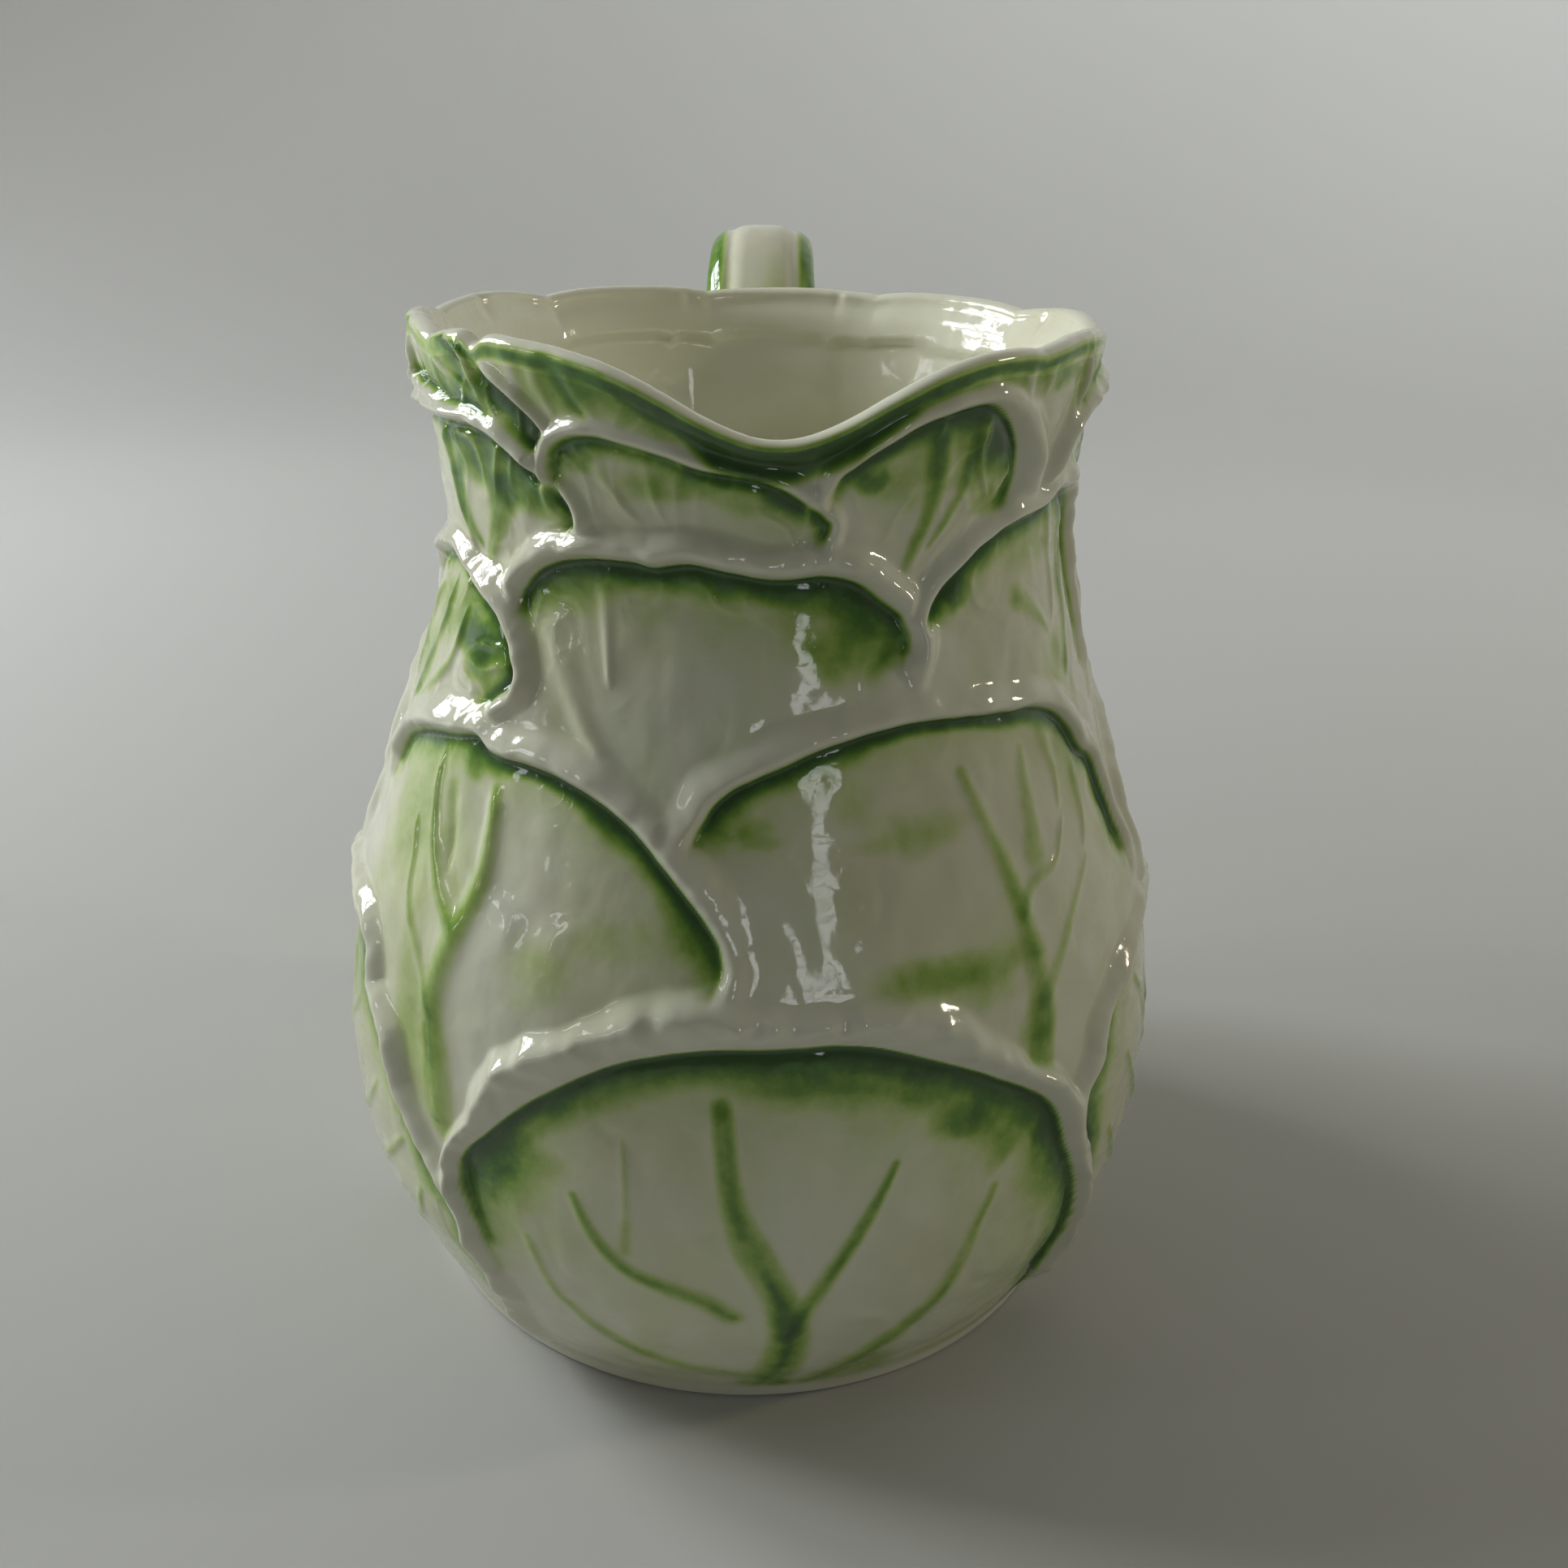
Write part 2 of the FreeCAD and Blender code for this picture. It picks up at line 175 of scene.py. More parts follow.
# --- the leaves -----------------------------------------------------------------------------
# An outline is the crease where a leaf's blade meets its rolled edge: angle, height, strength
# of the green brushed into the crease there, the width of that brushing in millimetres and,
# where it isn't 1, how much wider the rolled edge is. Where the strength is 0 the leaf runs out
# under its neighbours with no rolled edge. A roll is (width, height, place of its crest), a rib
# (points, width, relief, green), a wash (angle, height, half width, half height, green).
LEAVES = [
    dict(name="leaf_foot_front", centre=7, roll=(9.6, 2.0, 0.58), veining=0.12,
         base=(6, 2), outline=[
        (-27, 3, 0, 4), (-31, 19, 0, 4), (-35.5, 35, .5, 8, .4),
        (-36.5, 44, .8, 9, .5), (-32, 51, .85, 6, .8), (-25, 59, .9, 4.5),
        (-15, 67, .95, 5), (-5, 70.4, 1.1, 6),
        (5, 71, 1.1, 6.5), (15, 70.5, 1.1, 7), (25, 66, 1, 8.5),
        (33, 61, 1, 8.5, .8), (41, 54, .9, 9, .55), (45, 44, .85, 10, .5),
        (49, 34, .75, 8, .45), (50.5, 24, .8, 8, .4), (50, 14, .8, 6, .4),
        (48, 3, .6, 3, .4)], lumps=1.5,
        ribs=[([(1.5, 1), (5.5, 10), (6.8, 20), (5.5, 29), (2.5, 38), (.3, 45), (-1, 52),
                (-2, 63)], 4.2, .5, .95),
              ([(6.5, 22), (9, 29), (12.5, 37), (16, 45), (19, 52.5)], 2.3, .3, .65),
              ([(8, 2), (15, 8), (21, 15), (26, 22), (29, 30), (31, 38), (33, 43.5)],
               3, .3, .5),
              ([(-.5, 26), (-4, 29.5), (-9, 32), (-14, 35), (-17.5, 40), (-20, 46)],
               2.2, .3, .55),
              ([(0, 9), (-8, 11), (-15, 14.5), (-21, 20), (-25, 27.5), (-27, 35)],
               2.4, .3, .38),
              ([(-13.5, 38), (-13.2, 47), (-13.8, 56)], 1.4, .15, .2)],
        washes=[(4, 2, 5, 5, .7), (27, 57, 4, 3, .5), (-30, 47, 7, 7, .35),
                (42, 49, 3, 3, .5), (18, 6, 7, 6, .3), (-10, 6, 14, 3, .15)]),
    dict(name="leaf_foot_left", centre=-66, roll=(6.5, 2.0, 0.42), veining=0.35,
         base=(-72, 4), outline=[
        (-39, 3, .3, 5), (-36.7, 14, .8, 5), (-36.8, 23, .9, 6), (-40, 33, .9, 6),
        (-46, 42, .8, 6), (-51, 49, .75, 6), (-54, 56, .75, 6), (-60.5, 61, .7, 6),
        (-62, 68, .8, 6), (-70, 70, .6, 5), (-80, 72, .4, 4), (-88, 66, .5, 4),
        (-92, 52, .6, 4), (-91, 36, .6, 4), (-86, 20, .6, 4), (-77, 3, .6, 4)],
        ribs=[([(-76, 5), (-80, 15), (-84, 30), (-86, 48)], 3, .4, .4),
              ([(-78, 9), (-68, 11.5), (-58, 17), (-51, 24), (-48, 31)], 2.2, .3, .5),
              ([(-79, 14), (-68, 21), (-58, 31), (-51, 39)], 2, .3, .35),
              ([(-81, 24), (-72, 30), (-63, 38), (-58, 45)], 2, .3, .3),
              ([(-83, 36), (-74, 46), (-66, 55)], 2, .3, .25)],
        washes=[(-62, 4, 14, 4, .5), (-70, 60, 9, 8, .25), (-66, 66, 5, 4, .4)]),
    dict(name="leaf_foot_right", centre=78, roll=(5.5, 1.7, 0.4), veining=0.3,
         base=(80, 3), outline=[
        (58, 3, 0, 3), (55, 24, .3, 3), (52, 40.5, .9, 4), (49.5, 46, 1.1, 5),
        (49.8, 51.3, 1.1, 6), (53.5, 55.5, 1.1, 6), (55.5, 60.5, 1, 5), (64, 66, .8, 4),
        (78, 70, .6, 4), (93, 65, .7, 4), (103, 50, .8, 4), (104, 28, .7, 4),
        (97, 3, .3, 3)]),
    dict(name="leaf_foot_back_right", centre=145, roll=(7, 1.9, 0.45), veining=0.3,
         base=(143, 3), outline=[
        (115, 3, .2, 3), (110, 26, .5, 4), (113, 48, .8, 5), (124, 63, .9, 5),
        (143, 69, 1, 6), (162, 64, .9, 5), (174, 49, .8, 4), (177, 27, .5, 4),
        (172, 3, .2, 3)]),
    dict(name="leaf_foot_back_left", centre=-137, roll=(7, 1.9, 0.45), veining=0.3,
         base=(-136, 3), outline=[
        (-106, 3, .2, 3), (-101, 26, .5, 4), (-105, 48, .8, 5), (-117, 64, .9, 5),
        (-136, 70, 1, 6), (-156, 64, .9, 5), (-168, 48, .8, 4), (-173, 26, .5, 4),
        (-168, 3, .2, 3)]),
    dict(name="leaf_belly_front_left", centre=-38, roll=(6.5, 1.5, 0.35), veining=0.2,
         base=(-41, 48), outline=[
        (-70, 96, .5, 3), (-65, 99.5, .6, 3), (-60, 101.3, .7, 3.5), (-52, 103.3, .55, 3),
        (-46, 104.7, .7, 3), (-41.5, 103.3, .9, 2.5), (-33, 103.5, 1, 2.5),
        (-26, 102.5, 1, 2.5), (-19, 100, 1.05, 3), (-14, 96.5, 1, 2.5), (-9, 91.5, 1, 2.5),
        (-5, 87, .95, 4), (-3, 83.5, .75, 5), (-3.5, 79, .25, 4), (-9, 64, 0, 3),
        (-26, 42, 0, 3), (-44, 38, 0, 3), (-58, 46, 0, 3), (-72, 64, 0, 3), (-74, 84, 0, 3)],
        ribs=[([(-40.3, 49), (-41.5, 57), (-43, 65), (-42.5, 72), (-40.5, 79),
                (-38.4, 88), (-39.4, 99)], 3.6, .9, .55),
              ([(-42, 80), (-46, 83), (-50, 88), (-52.5, 94), (-54, 100)], 1.8, .6, .4),
              ([(-43.5, 66), (-47, 73), (-53, 80), (-57, 90)], 1.3, .35, .25),
              ([(-49, 97), (-47, 91), (-46, 86)], 1.6, -.35, .15)],
        washes=[(-56, 86, 12, 17, .2), (-47, 62, 5, 16, .22), (-27, 78, 6, 5, .16),
                (-18, 84, 6, 4, .12), (-45, 102, 3, 3, .4)]),
    dict(name="leaf_belly_front_right", centre=34, roll=(5.6, 1.3, 0.35), veining=0.15,
         base=(41, 56), outline=[
        (-4.7, 101, .75, 3.5), (-2, 104, .9, 3), (1.5, 105.7, .9, 2.5), (6, 107.4, .9, 2.3),
        (12, 109.6, 1, 2.3), (20, 111.2, 1.05, 2.3), (27, 111.7, 1.05, 2.3),
        (35, 111.2, 1, 2), (45, 110, 1, 2.5), (50.5, 109.4, .95, 3), (56, 107.5, .9, 3.5),
        (60, 104.5, .9, 3), (63, 100, .85, 3), (67, 97, .85, 3.5), (68.7, 92, 1, 4.5),
        (70, 86.5, .9, 4.5), (71, 78, .15, 4), (68, 60, 0, 3), (54, 44, 0, 3),
        (34, 42, 0, 3), (10, 54, 0, 3), (-3, 76, 0, 3), (-7, 94, 0, 3)],
        ribs=[([(40.3, 60), (41, 68), (40.5, 76), (40, 84), (38.5, 91), (36, 98),
                (33.5, 104.5)], 3, .4, .55),
              ([(41.5, 71), (46, 77), (51, 81.5), (57, 86)], 1.8, .3, .3),
              ([(40, 84), (44, 87.3), (49, 88.6), (53, 93)], 1.4, .35, .28),
              ([(45, 91), (45.5, 98), (46.5, 105)], 2.4, .3, .35),
              ([(52, 106), (54, 100), (53, 95)], 1.6, .35, .2),
              ([(60, 98), (59, 92), (57.5, 88)], 1.4, .4, .25)],
        washes=[(27, 78, 12, 3.5, .38), (33, 76, 5, 3.5, .22), (25, 98, 9, 3, .2),
                (1, 99.3, 4, 2, .3), (40, 66, 3, 6, .3), (16, 102.5, 4, 3, .12),
                (60, 100, 5, 7, .15)]),
    dict(name="leaf_belly_back_right", centre=110, roll=(6, 1.7, 0.4), veining=0.35,
         base=(110, 48), outline=[
        (79, 84, .5, 3), (86, 96, .8, 3), (102, 104, 1, 4), (120, 104, 1, 4),
        (134, 97, .9, 4), (142, 82, .6, 3), (140, 60, 0, 3), (120, 40, 0, 3),
        (96, 42, 0, 3), (80, 62, 0, 3)]),
    dict(name="leaf_belly_back", centre=178, roll=(6, 1.7, 0.4), veining=0.35,
         base=(178, 46), outline=[
        (150, 84, .5, 3), (154, 99, .8, 3), (167, 107, 1, 4), (184, 108, 1, 4),
        (199, 101, .9, 4), (207, 86, .5, 3), (206, 62, 0, 3), (190, 40, 0, 3),
        (164, 40, 0, 3), (150, 62, 0, 3)]),
    dict(name="leaf_belly_back_left", centre=-112, roll=(6, 1.7, 0.4), veining=0.35,
         base=(-112, 46), outline=[
        (-81, 86, .5, 3), (-88, 98, .8, 3), (-101, 105, 1, 4), (-118, 105, 1, 4),
        (-133, 98, .9, 4), (-142, 84, .5, 3), (-140, 62, 0, 3), (-122, 40, 0, 3),
        (-98, 40, 0, 3), (-82, 62, 0, 3)]),
    dict(name="leaf_shoulder_front", centre=-8, roll=(6, 2.0, 0.42), veining=0.5,
         base=(-6, 92), outline=[
        (-40, 125, .6, 3), (-39, 127.5, .95, 4), (-36, 130, 1, 4), (-31, 132, 1, 3),
        (-25, 133, 1.15, 3.5), (-19, 133.2, 1.3, 5), (-15, 132.8, 1.3, 3.5),
        (-9, 133.6, 1.5, 4), (-3, 132.8, 1.4, 3.5), (4, 131.9, 1.4, 4), (12, 132.2, 1.3, 4),
        (17, 131, 1.2, 5.5), (21, 128.5, 1.1, 5), (24.5, 126, 1, 5), (25.7, 122.7, .65, 4),
        (24, 118.5, .05, 4), (19, 100, 0, 3), (6, 84, 0, 3), (-12, 84, 0, 3),
        (-30, 96, 0, 3), (-40, 114, 0, 3)],
        ribs=[([(-24, 131), (-23, 125), (-21.5, 117)], 1.4, .4, -.05),
              ([(-35, 124), (-31, 119), (-26, 112), (-21, 107)], 3.2, .7, 0),
              ([(-3, 112), (3, 111), (10, 113)], 2.6, .4, 0)],
        washes=[(18, 122, 8, 4.5, .4), (12, 124, 10, 4, .2), (-30, 128, 6, 3, .2)]),
    dict(name="leaf_shoulder_left", centre=-64, roll=(5.6, 1.8, 0.42), veining=0.9,
         base=(-66, 92), outline=[
        (-88, 118, .3, 3), (-78, 124, .5, 3), (-68, 126.8, .8, 2.5), (-61, 127.2, .85, 2.5),
        (-55, 125.2, .9, 2.5), (-50, 123.6, .9, 3), (-45, 121.4, .95, 3),
        (-42, 118, .95, 3.5), (-40.5, 114.5, .9, 4), (-44, 111.5, .6, 3), (-50, 106, .2, 3),
        (-58, 92, 0, 3), (-72, 86, 0, 3), (-86, 94, 0, 4), (-92, 106, 0, 4)],
        ribs=[([(-74, 100), (-70, 109), (-65, 117), (-63, 124)], 2, .5, .5),
              ([(-72, 98), (-66, 106), (-59, 113), (-56, 121)], 1.8, .5, .35),
              ([(-80, 104), (-77, 113), (-72, 121)], 1.8, .5, .3)],
        washes=[(-50, 116.5, 5, 4, .85), (-56, 120, 6, 4, .4), (-66, 119, 7, 4, .35),
                (-74, 111, 8, 6, .3), (-46, 118, 4, 3, .4)]),
    dict(name="leaf_shoulder_right", centre=56, roll=(5.6, 1.6, 0.4), veining=0.4,
         base=(58, 96), outline=[
        (31, 126.5, .7, 3.5), (33, 129, .95, 3.5), (37, 131.7, .95, 3.2), (42, 134.3, 1, 3.2),
        (47, 136, 1.05, 3.5), (53, 136.6, .95, 2.7), (58, 137.2, .9, 2.7),
        (62, 138.4, .85, 3), (68, 137.8, .7, 3), (75, 135, .5, 3), (80, 127, .5, 4),
        (81, 113, .3, 4), (72, 96, 0, 3), (56, 92, 0, 3), (42, 100, 0, 3), (32, 114, 0, 3),
        (30.5, 121, 0, 3), (30.2, 124, .05, 3)],
        ribs=[([(70, 136), (72, 127), (71, 118), (67, 111)], 2.6, .4, .55),
              ([(51, 125.5), (56, 123), (61, 119)], 2.2, .3, .38),
              ([(62, 136), (65, 128), (64, 120)], 1.6, .4, .2)],
        washes=[(36, 128.5, 3.5, 2.5, .5), (56, 132, 8, 4, .15), (64, 114, 5, 5, .25)]),
    dict(name="leaf_shoulder_back_right", centre=116, roll=(5.6, 1.7, 0.42), veining=0.6,
         base=(116, 92), outline=[
        (90, 120, .4, 3), (97, 130, .8, 3), (112, 135, 1, 4), (127, 132, 1, 4),
        (139, 122, .6, 3), (140, 106, 0, 3), (128, 92, 0, 3), (104, 92, 0, 3),
        (90, 104, 0, 3)]),
    dict(name="leaf_shoulder_back", centre=176, roll=(5.6, 1.7, 0.42), veining=0.6,
         base=(178, 90), outline=[
        (148, 117, .4, 3), (155, 127, .8, 3), (170, 131.5, 1, 4), (186, 131, 1, 4),
        (200, 125, .8, 3), (207, 112, .3, 3), (203, 98, 0, 3), (180, 88, 0, 3),
        (154, 96, 0, 3)]),
    dict(name="leaf_shoulder_back_left", centre=-122, roll=(5.6, 1.7, 0.42), veining=0.6,
         base=(-120, 92), outline=[
        (-96, 121, .4, 3), (-104, 131, .8, 3), (-120, 135, 1, 4), (-134, 131, 1, 4),
        (-146, 120, .6, 3), (-146, 105, 0, 3), (-134, 92, 0, 3), (-110, 92, 0, 3),
        (-96, 105, 0, 3)]),
    dict(name="leaf_neck_left", centre=-62, roll=(4.4, 1.7, 0.45), veining=1,
         base=(-54, 122), outline=[
        (-92, 141.5, .5, 2), (-80, 145.7, .75, 2), (-70, 147.2, .8, 2.3),
        (-61, 147.4, .85, 3.5), (-54, 148, .9, 3.5), (-48, 148.2, .95, 3.5),
        (-42, 147, 1.05, 4), (-36, 144, 1.05, 4), (-32, 142, 1.05, 4), (-29.6, 140, .95, 3),
        (-29.6, 137, .6, 2.5), (-34, 130, .1, 2), (-44, 120, 0, 2), (-62, 116, 0, 2),
        (-84, 122, 0, 2), (-94, 132, 0, 2)],
        ribs=[([(-59, 140), (-57.3, 135.5), (-53, 131.3)], 2.2, .3, .95),
              ([(-44, 140), (-47, 135), (-50, 130.5)], 3.4, .3, .7),
              ([(-62, 146), (-60, 138), (-55, 130)], 1.4, .5, 0)],
        washes=[(-50, 143.5, 10, 3.6, .7), (-38, 141, 6.5, 3.4, .6), (-60, 144, 6, 3, .4),
                (-80, 142, 9, 4, .35)]),
    dict(name="leaf_neck_front", centre=-10, roll=(3.4, 1.3, 0.4), veining=0.8,
         base=(-8, 128), outline=[
        (-31, 146.3, .5, 3), (-28, 149, .6, 2.5), (-23, 150, .6, 2.2), (-17, 149.3, .55, 2.2),
        (-12, 148.3, .65, 2.2), (-7, 146.9, .9, 2.6), (0, 146, 1.1, 2.6), (4, 144.8, 1.1, 3),
        (8, 142.6, 1.1, 3), (11, 140.6, 1, 2.5), (11.5, 138.5, .5, 2), (6, 130, 0, 2),
        (-10, 124, 0, 2), (-26, 130, 0, 2), (-31, 140, .1, 2)],
        ribs=[([(-23, 148), (-21.5, 144), (-17, 139.5)], 1.3, .5, 0),
              ([(-15, 148), (-14, 143), (-13, 140)], 1.1, .4, 0),
              ([(-28, 142), (-24, 139), (-20, 137)], 2, .5, 0)],
        washes=[(-27, 147, 3.5, 2, .4), (-12, 145, 12, 2.5, .3), (2, 143, 6, 2, .35)]),
    dict(name="leaf_neck_right", centre=31, roll=(3.6, 1.5, 0.45), veining=0.9,
         base=(24, 128), outline=[
        (13.5, 145.5, .5, 2), (15.5, 147.3, .9, 2.5), (19, 149.5, .9, 2.5), (24, 152, 1, 3.2),
        (30, 153.6, 1.1, 3.6), (36, 154.1, 1.15, 5.5), (40.2, 152.3, 1.15, 6.5, 1.5),
        (43.7, 149, 1.1, 5.5, 2.3), (45.7, 145.5, 1, 4, 2.6), (45, 142, .7, 3, 2.3),
        (40, 134, .1, 2), (32, 124, 0, 2), (22, 124, 0, 2), (15, 132, 0, 2), (12, 140, 0, 2)],
        ribs=[([(28.5, 150), (28.9, 144), (28, 139), (25.3, 133)], 2.2, .3, .65),
              ([(36, 150), (34, 143), (29.5, 136)], 1.6, .3, .45),
              ([(36.5, 151), (37.5, 146), (40, 142)], 1, .5, -.2)],
        washes=[(18, 145.6, 2.6, 1.6, .8), (38.5, 148, 6, 4.5, .65), (40, 141.2, 4, 2, .6),
                (24, 145, 7, 4, .2)]),
    dict(name="leaf_neck_back_right", centre=86, roll=(4.8, 1.8, 0.45), veining=0.8,
         base=(86, 124), outline=[
        (60, 141, .35, 2.5), (66, 148, .6, 3), (84, 150, .9, 3.5), (102, 148, .9, 3.5),
        (113, 140, .6, 3), (112, 126, 0, 3), (88, 116, 0, 3), (62, 126, 0, 3)]),
    dict(name="leaf_neck_back", centre=150, roll=(4.6, 1.7, 0.45), veining=0.8,
         base=(150, 122), outline=[
        (121, 140, .5, 3), (131, 147, .9, 3.5), (150, 149, 1, 3.5), (164, 146, .9, 3),
        (171, 138, .5, 3), (168, 125, 0, 3), (148, 118, 0, 3), (125, 126, 0, 3)]),
    dict(name="leaf_neck_back_left", centre=-136, roll=(4.6, 1.7, 0.45), veining=0.8,
         base=(-136, 122), outline=[
        (-103, 140, .5, 3), (-113, 147, .9, 3.5), (-134, 149.5, 1, 3.5), (-155, 147, .9, 3),
        (-168, 139, .5, 3), (-165, 126, 0, 3), (-138, 118, 0, 3), (-108, 126, 0, 3)]),
    dict(name="leaf_rim_left", centre=-56, roll=(3.2, 1.4, 0.45), veining=0.8,
         base=(-34, 147), outline=[
        (-80, 157, .5, 3), (-70, 162, .9, 3), (-58, 161, 1, 3), (-50, 158.4, 1, 3.5),
        (-42, 155.6, 1.1, 3.5), (-36, 152.8, 1.3, 3.5), (-32.3, 149.8, 1.4, 4),
        (-33, 147.5, 1.3, 3), (-39, 148.4, 1, 3), (-46, 150.2, .9, 3), (-54, 151, .8, 3),
        (-62, 152.4, .7, 3), (-74, 152.5, .6, 3)],
        ribs=[([(-36, 149), (-46, 152.8), (-58, 156.5), (-68, 159)], 1.4, .5, -.3),
              ([(-44, 152.5), (-47, 156.5)], 1.1, .5, -.25),
              ([(-56, 156), (-60, 159.5)], 1.1, .5, -.25)],
        washes=[(-44, 152.5, 9, 3, .75), (-58, 156, 9, 4, .45), (-36, 149.5, 4, 2.5, .8)]),
    dict(name="leaf_lip_left", centre=-20, roll=(3.2, 1.4, 0.45), veining=0.8,
         base=(-26, 146), outline=[
        (-46, 163, 0, 3), (-46, 158, .4, 3), (-40, 153, 0, 3), (-34, 146, 0, 3),
        (-18, 140, 0, 3), (0, 138, 0, 3), (8, 143, 0, 3), (9, 165, 0, 3),
        (-10, 168, 0, 3), (-34, 168, 0, 3)],
        ribs=[([(-43, 160.5), (-40.5, 157), (-35.8, 152.3)], 2.6, .6, -.5),
              ([(-37, 161), (-36.3, 157.5), (-35, 154)], 2, .5, -.45),
              ([(-33, 160), (-31.5, 156), (-29.5, 153)], 1.6, .4, -.3),
              ([(-30, 160.5), (-27, 156.5), (-23.5, 152.8)], 1.7, -.4, .5),
              ([(-21, 158.5), (-17, 155)], 1.6, .4, .2)],
        washes=[(-38, 159, 8, 5, .7), (-28, 158, 8, 5, .65), (-18, 155.5, 7, 4.5, .6),
                (-10, 153, 6, 3.5, .4)]),
    dict(name="leaf_lip_right", centre=34, roll=(3.2, 1.4, 0.45), veining=0.6,
         base=(30, 144), outline=[
        (8, 143, 0, 3), (18, 140, 0, 3), (40, 140, 0, 3), (58, 146, 0, 3),
        (61.5, 153, .3, 3), (62, 160, .3, 3), (62, 168, 0, 3), (34, 168, 0, 3),
        (9, 165, 0, 3)],
        ribs=[([(44, 159), (45, 155.5), (44, 152.5)], 1.4, .5, -.3),
              ([(50, 158.5), (50, 155)], 1.3, .5, -.2),
              ([(36, 159), (38, 156)], 1.3, .4, -.2)],
        washes=[(20, 153.5, 7, 3, .4), (32, 157.5, 10, 3.5, .6), (46, 158.5, 8, 4, .55),
                (55, 157, 4, 2.4, .8)]),
    dict(name="leaf_rim_right", centre=84, roll=(3.2, 1.4, 0.45), veining=0.6,
         base=(82, 142), outline=[
        (63, 148, .3, 3), (64, 155, .5, 3), (66, 168, 0, 3), (100, 168, 0, 3),
        (108, 152, .5, 3), (100, 140, 0, 3), (70, 140, 0, 3)],
        ribs=[([(64, 150), (65, 154), (67, 158)], 1.4, .5, .2),
              ([(66, 149), (70, 153), (73, 157)], 1.4, .5, .2)],
        washes=[(66, 152, 4, 6, .5), (74, 153, 6, 5, .4), (84, 155, 12, 4, .35)]),
    dict(name="leaf_rim_back_right", centre=136, roll=(3.2, 1.4, 0.45), veining=0.6,
         base=(136, 142), outline=[
        (108, 150, .4, 3), (112, 160, .5, 3), (118, 168, 0, 3), (156, 168, 0, 3),
        (163, 151, .5, 3), (154, 140, 0, 3), (116, 140, 0, 3)],
        washes=[(136, 154, 18, 4, .4)]),
    dict(name="leaf_rim_back_left", centre=-138, roll=(3.2, 1.4, 0.45), veining=0.6,
         base=(-138, 142), outline=[
        (-164, 150, .4, 3), (-160, 160, .5, 3), (-156, 168, 0, 3), (-118, 168, 0, 3),
        (-110, 151, .5, 3), (-118, 140, 0, 3), (-156, 140, 0, 3)],
        washes=[(-138, 154, 18, 4, .4)]),
    dict(name="leaf_rim_back_side", centre=-94, roll=(3.2, 1.4, 0.45), veining=0.6,
         base=(-95, 142), outline=[
        (-112, 151, .4, 3), (-109, 160, .5, 3), (-106, 168, 0, 3), (-84, 168, 0, 3),
        (-78, 152, .4, 3), (-84, 140, 0, 3), (-104, 140, 0, 3)],
        washes=[(-95, 154, 12, 4, .4)]),
]


def branching_ribs(leaf):
    """A midrib with side ribs leaving it by turns, where none are listed."""
    base_angle, base_height = leaf["base"]
    top = max(point[1] for point in leaf["outline"] if point[2] > 0.05)
    left = min(point[0] for point in leaf["outline"])
    right = max(point[0] for point in leaf["outline"])
    reach = (right - left) / 2.0
    rise = top - base_height
    lean = 3.0 * math.sin(leaf["centre"])

    def midrib(share):
        return base_angle + lean * math.sin(2.4 * share), base_height + 2.0 + rise * share

    ribs = [([midrib(share) for share in (0.0, 0.25, 0.5, 0.75, 0.9)], 4.0, 0.45, 0.6)]
    for number in range(6):
        side = 1.0 if number % 2 else -1.0
        leave = 0.10 + 0.105 * number
        out = side * reach * (0.74 - 0.07 * number + 0.05 * math.sin(3.0 * number + lean))
        start_angle, start_height = midrib(leave)
        points = [(start_angle, start_height),
                  (start_angle + 0.34 * out, start_height + 0.10 * rise),
                  (start_angle + 0.72 * out, start_height + 0.24 * rise),
                  (start_angle + out, start_height + 0.42 * rise * (1.0 - 0.5 * leave))]
        ribs.append((points, 2.4, 0.4, 0.42))
    return ribs


def flatten(points, centre):
    """(angle, height, ...) rows to millimetres across and up, about a leaf's centre angle."""
    p = np.array([tuple(point) for point in points], float)
    across = np.radians(p[:, 0] - centre) * radius_at(p[:, 1])
    return np.column_stack([across, p[:, 1:]])


def distance_to(path, x, y):
    """Distance of points to a polyline, how far along it they lie, and its whole length."""
    best = np.full(x.shape, 1e9)
    along = np.zeros(x.shape)
    start = 0.0
    for a, b in zip(path[:-1], path[1:]):
        ab = b - a
        length2 = ab @ ab + 1e-12
        t = np.clip(((x - a[0]) * ab[0] + (y - a[1]) * ab[1]) / length2, 0.0, 1.0)
        dx = x - a[0] - t * ab[0]
        dy = y - a[1] - t * ab[1]
        d2 = dx * dx + dy * dy
        closer = d2 < best
        best = np.where(closer, d2, best)
        length = math.sqrt(length2)
        along = np.where(closer, start + t * length, along)
        start += length
    return np.sqrt(best), along, start


def spread_from(outline, x, y):
    """What an outline's further columns say, carried smoothly to every point round it."""
    total = np.zeros(x.shape)
    sums = [np.zeros(x.shape) for _ in range(outline.shape[1] - 2)]
    for row in outline[::3]:
        share = 1.0 / ((x - row[0]) ** 2 + (y - row[1]) ** 2 + 1.5) ** 2
        total += share
        for column, value in enumerate(row[2:]):
            sums[column] += share * value
    return [column / total for column in sums]


def inside_of(path, x, y):
    """Whether points lie inside a closed polyline."""
    odd = np.zeros(x.shape, bool)
    for a, b in zip(path, np.roll(path, -1, axis=0)):
        if a[1] == b[1]:
            continue
        crosses = (y < a[1]) != (y < b[1])
        reach = (b[0] - a[0]) * (y - a[1]) / (b[1] - a[1]) + a[0]
        odd ^= crosses & (x < reach)
    return odd


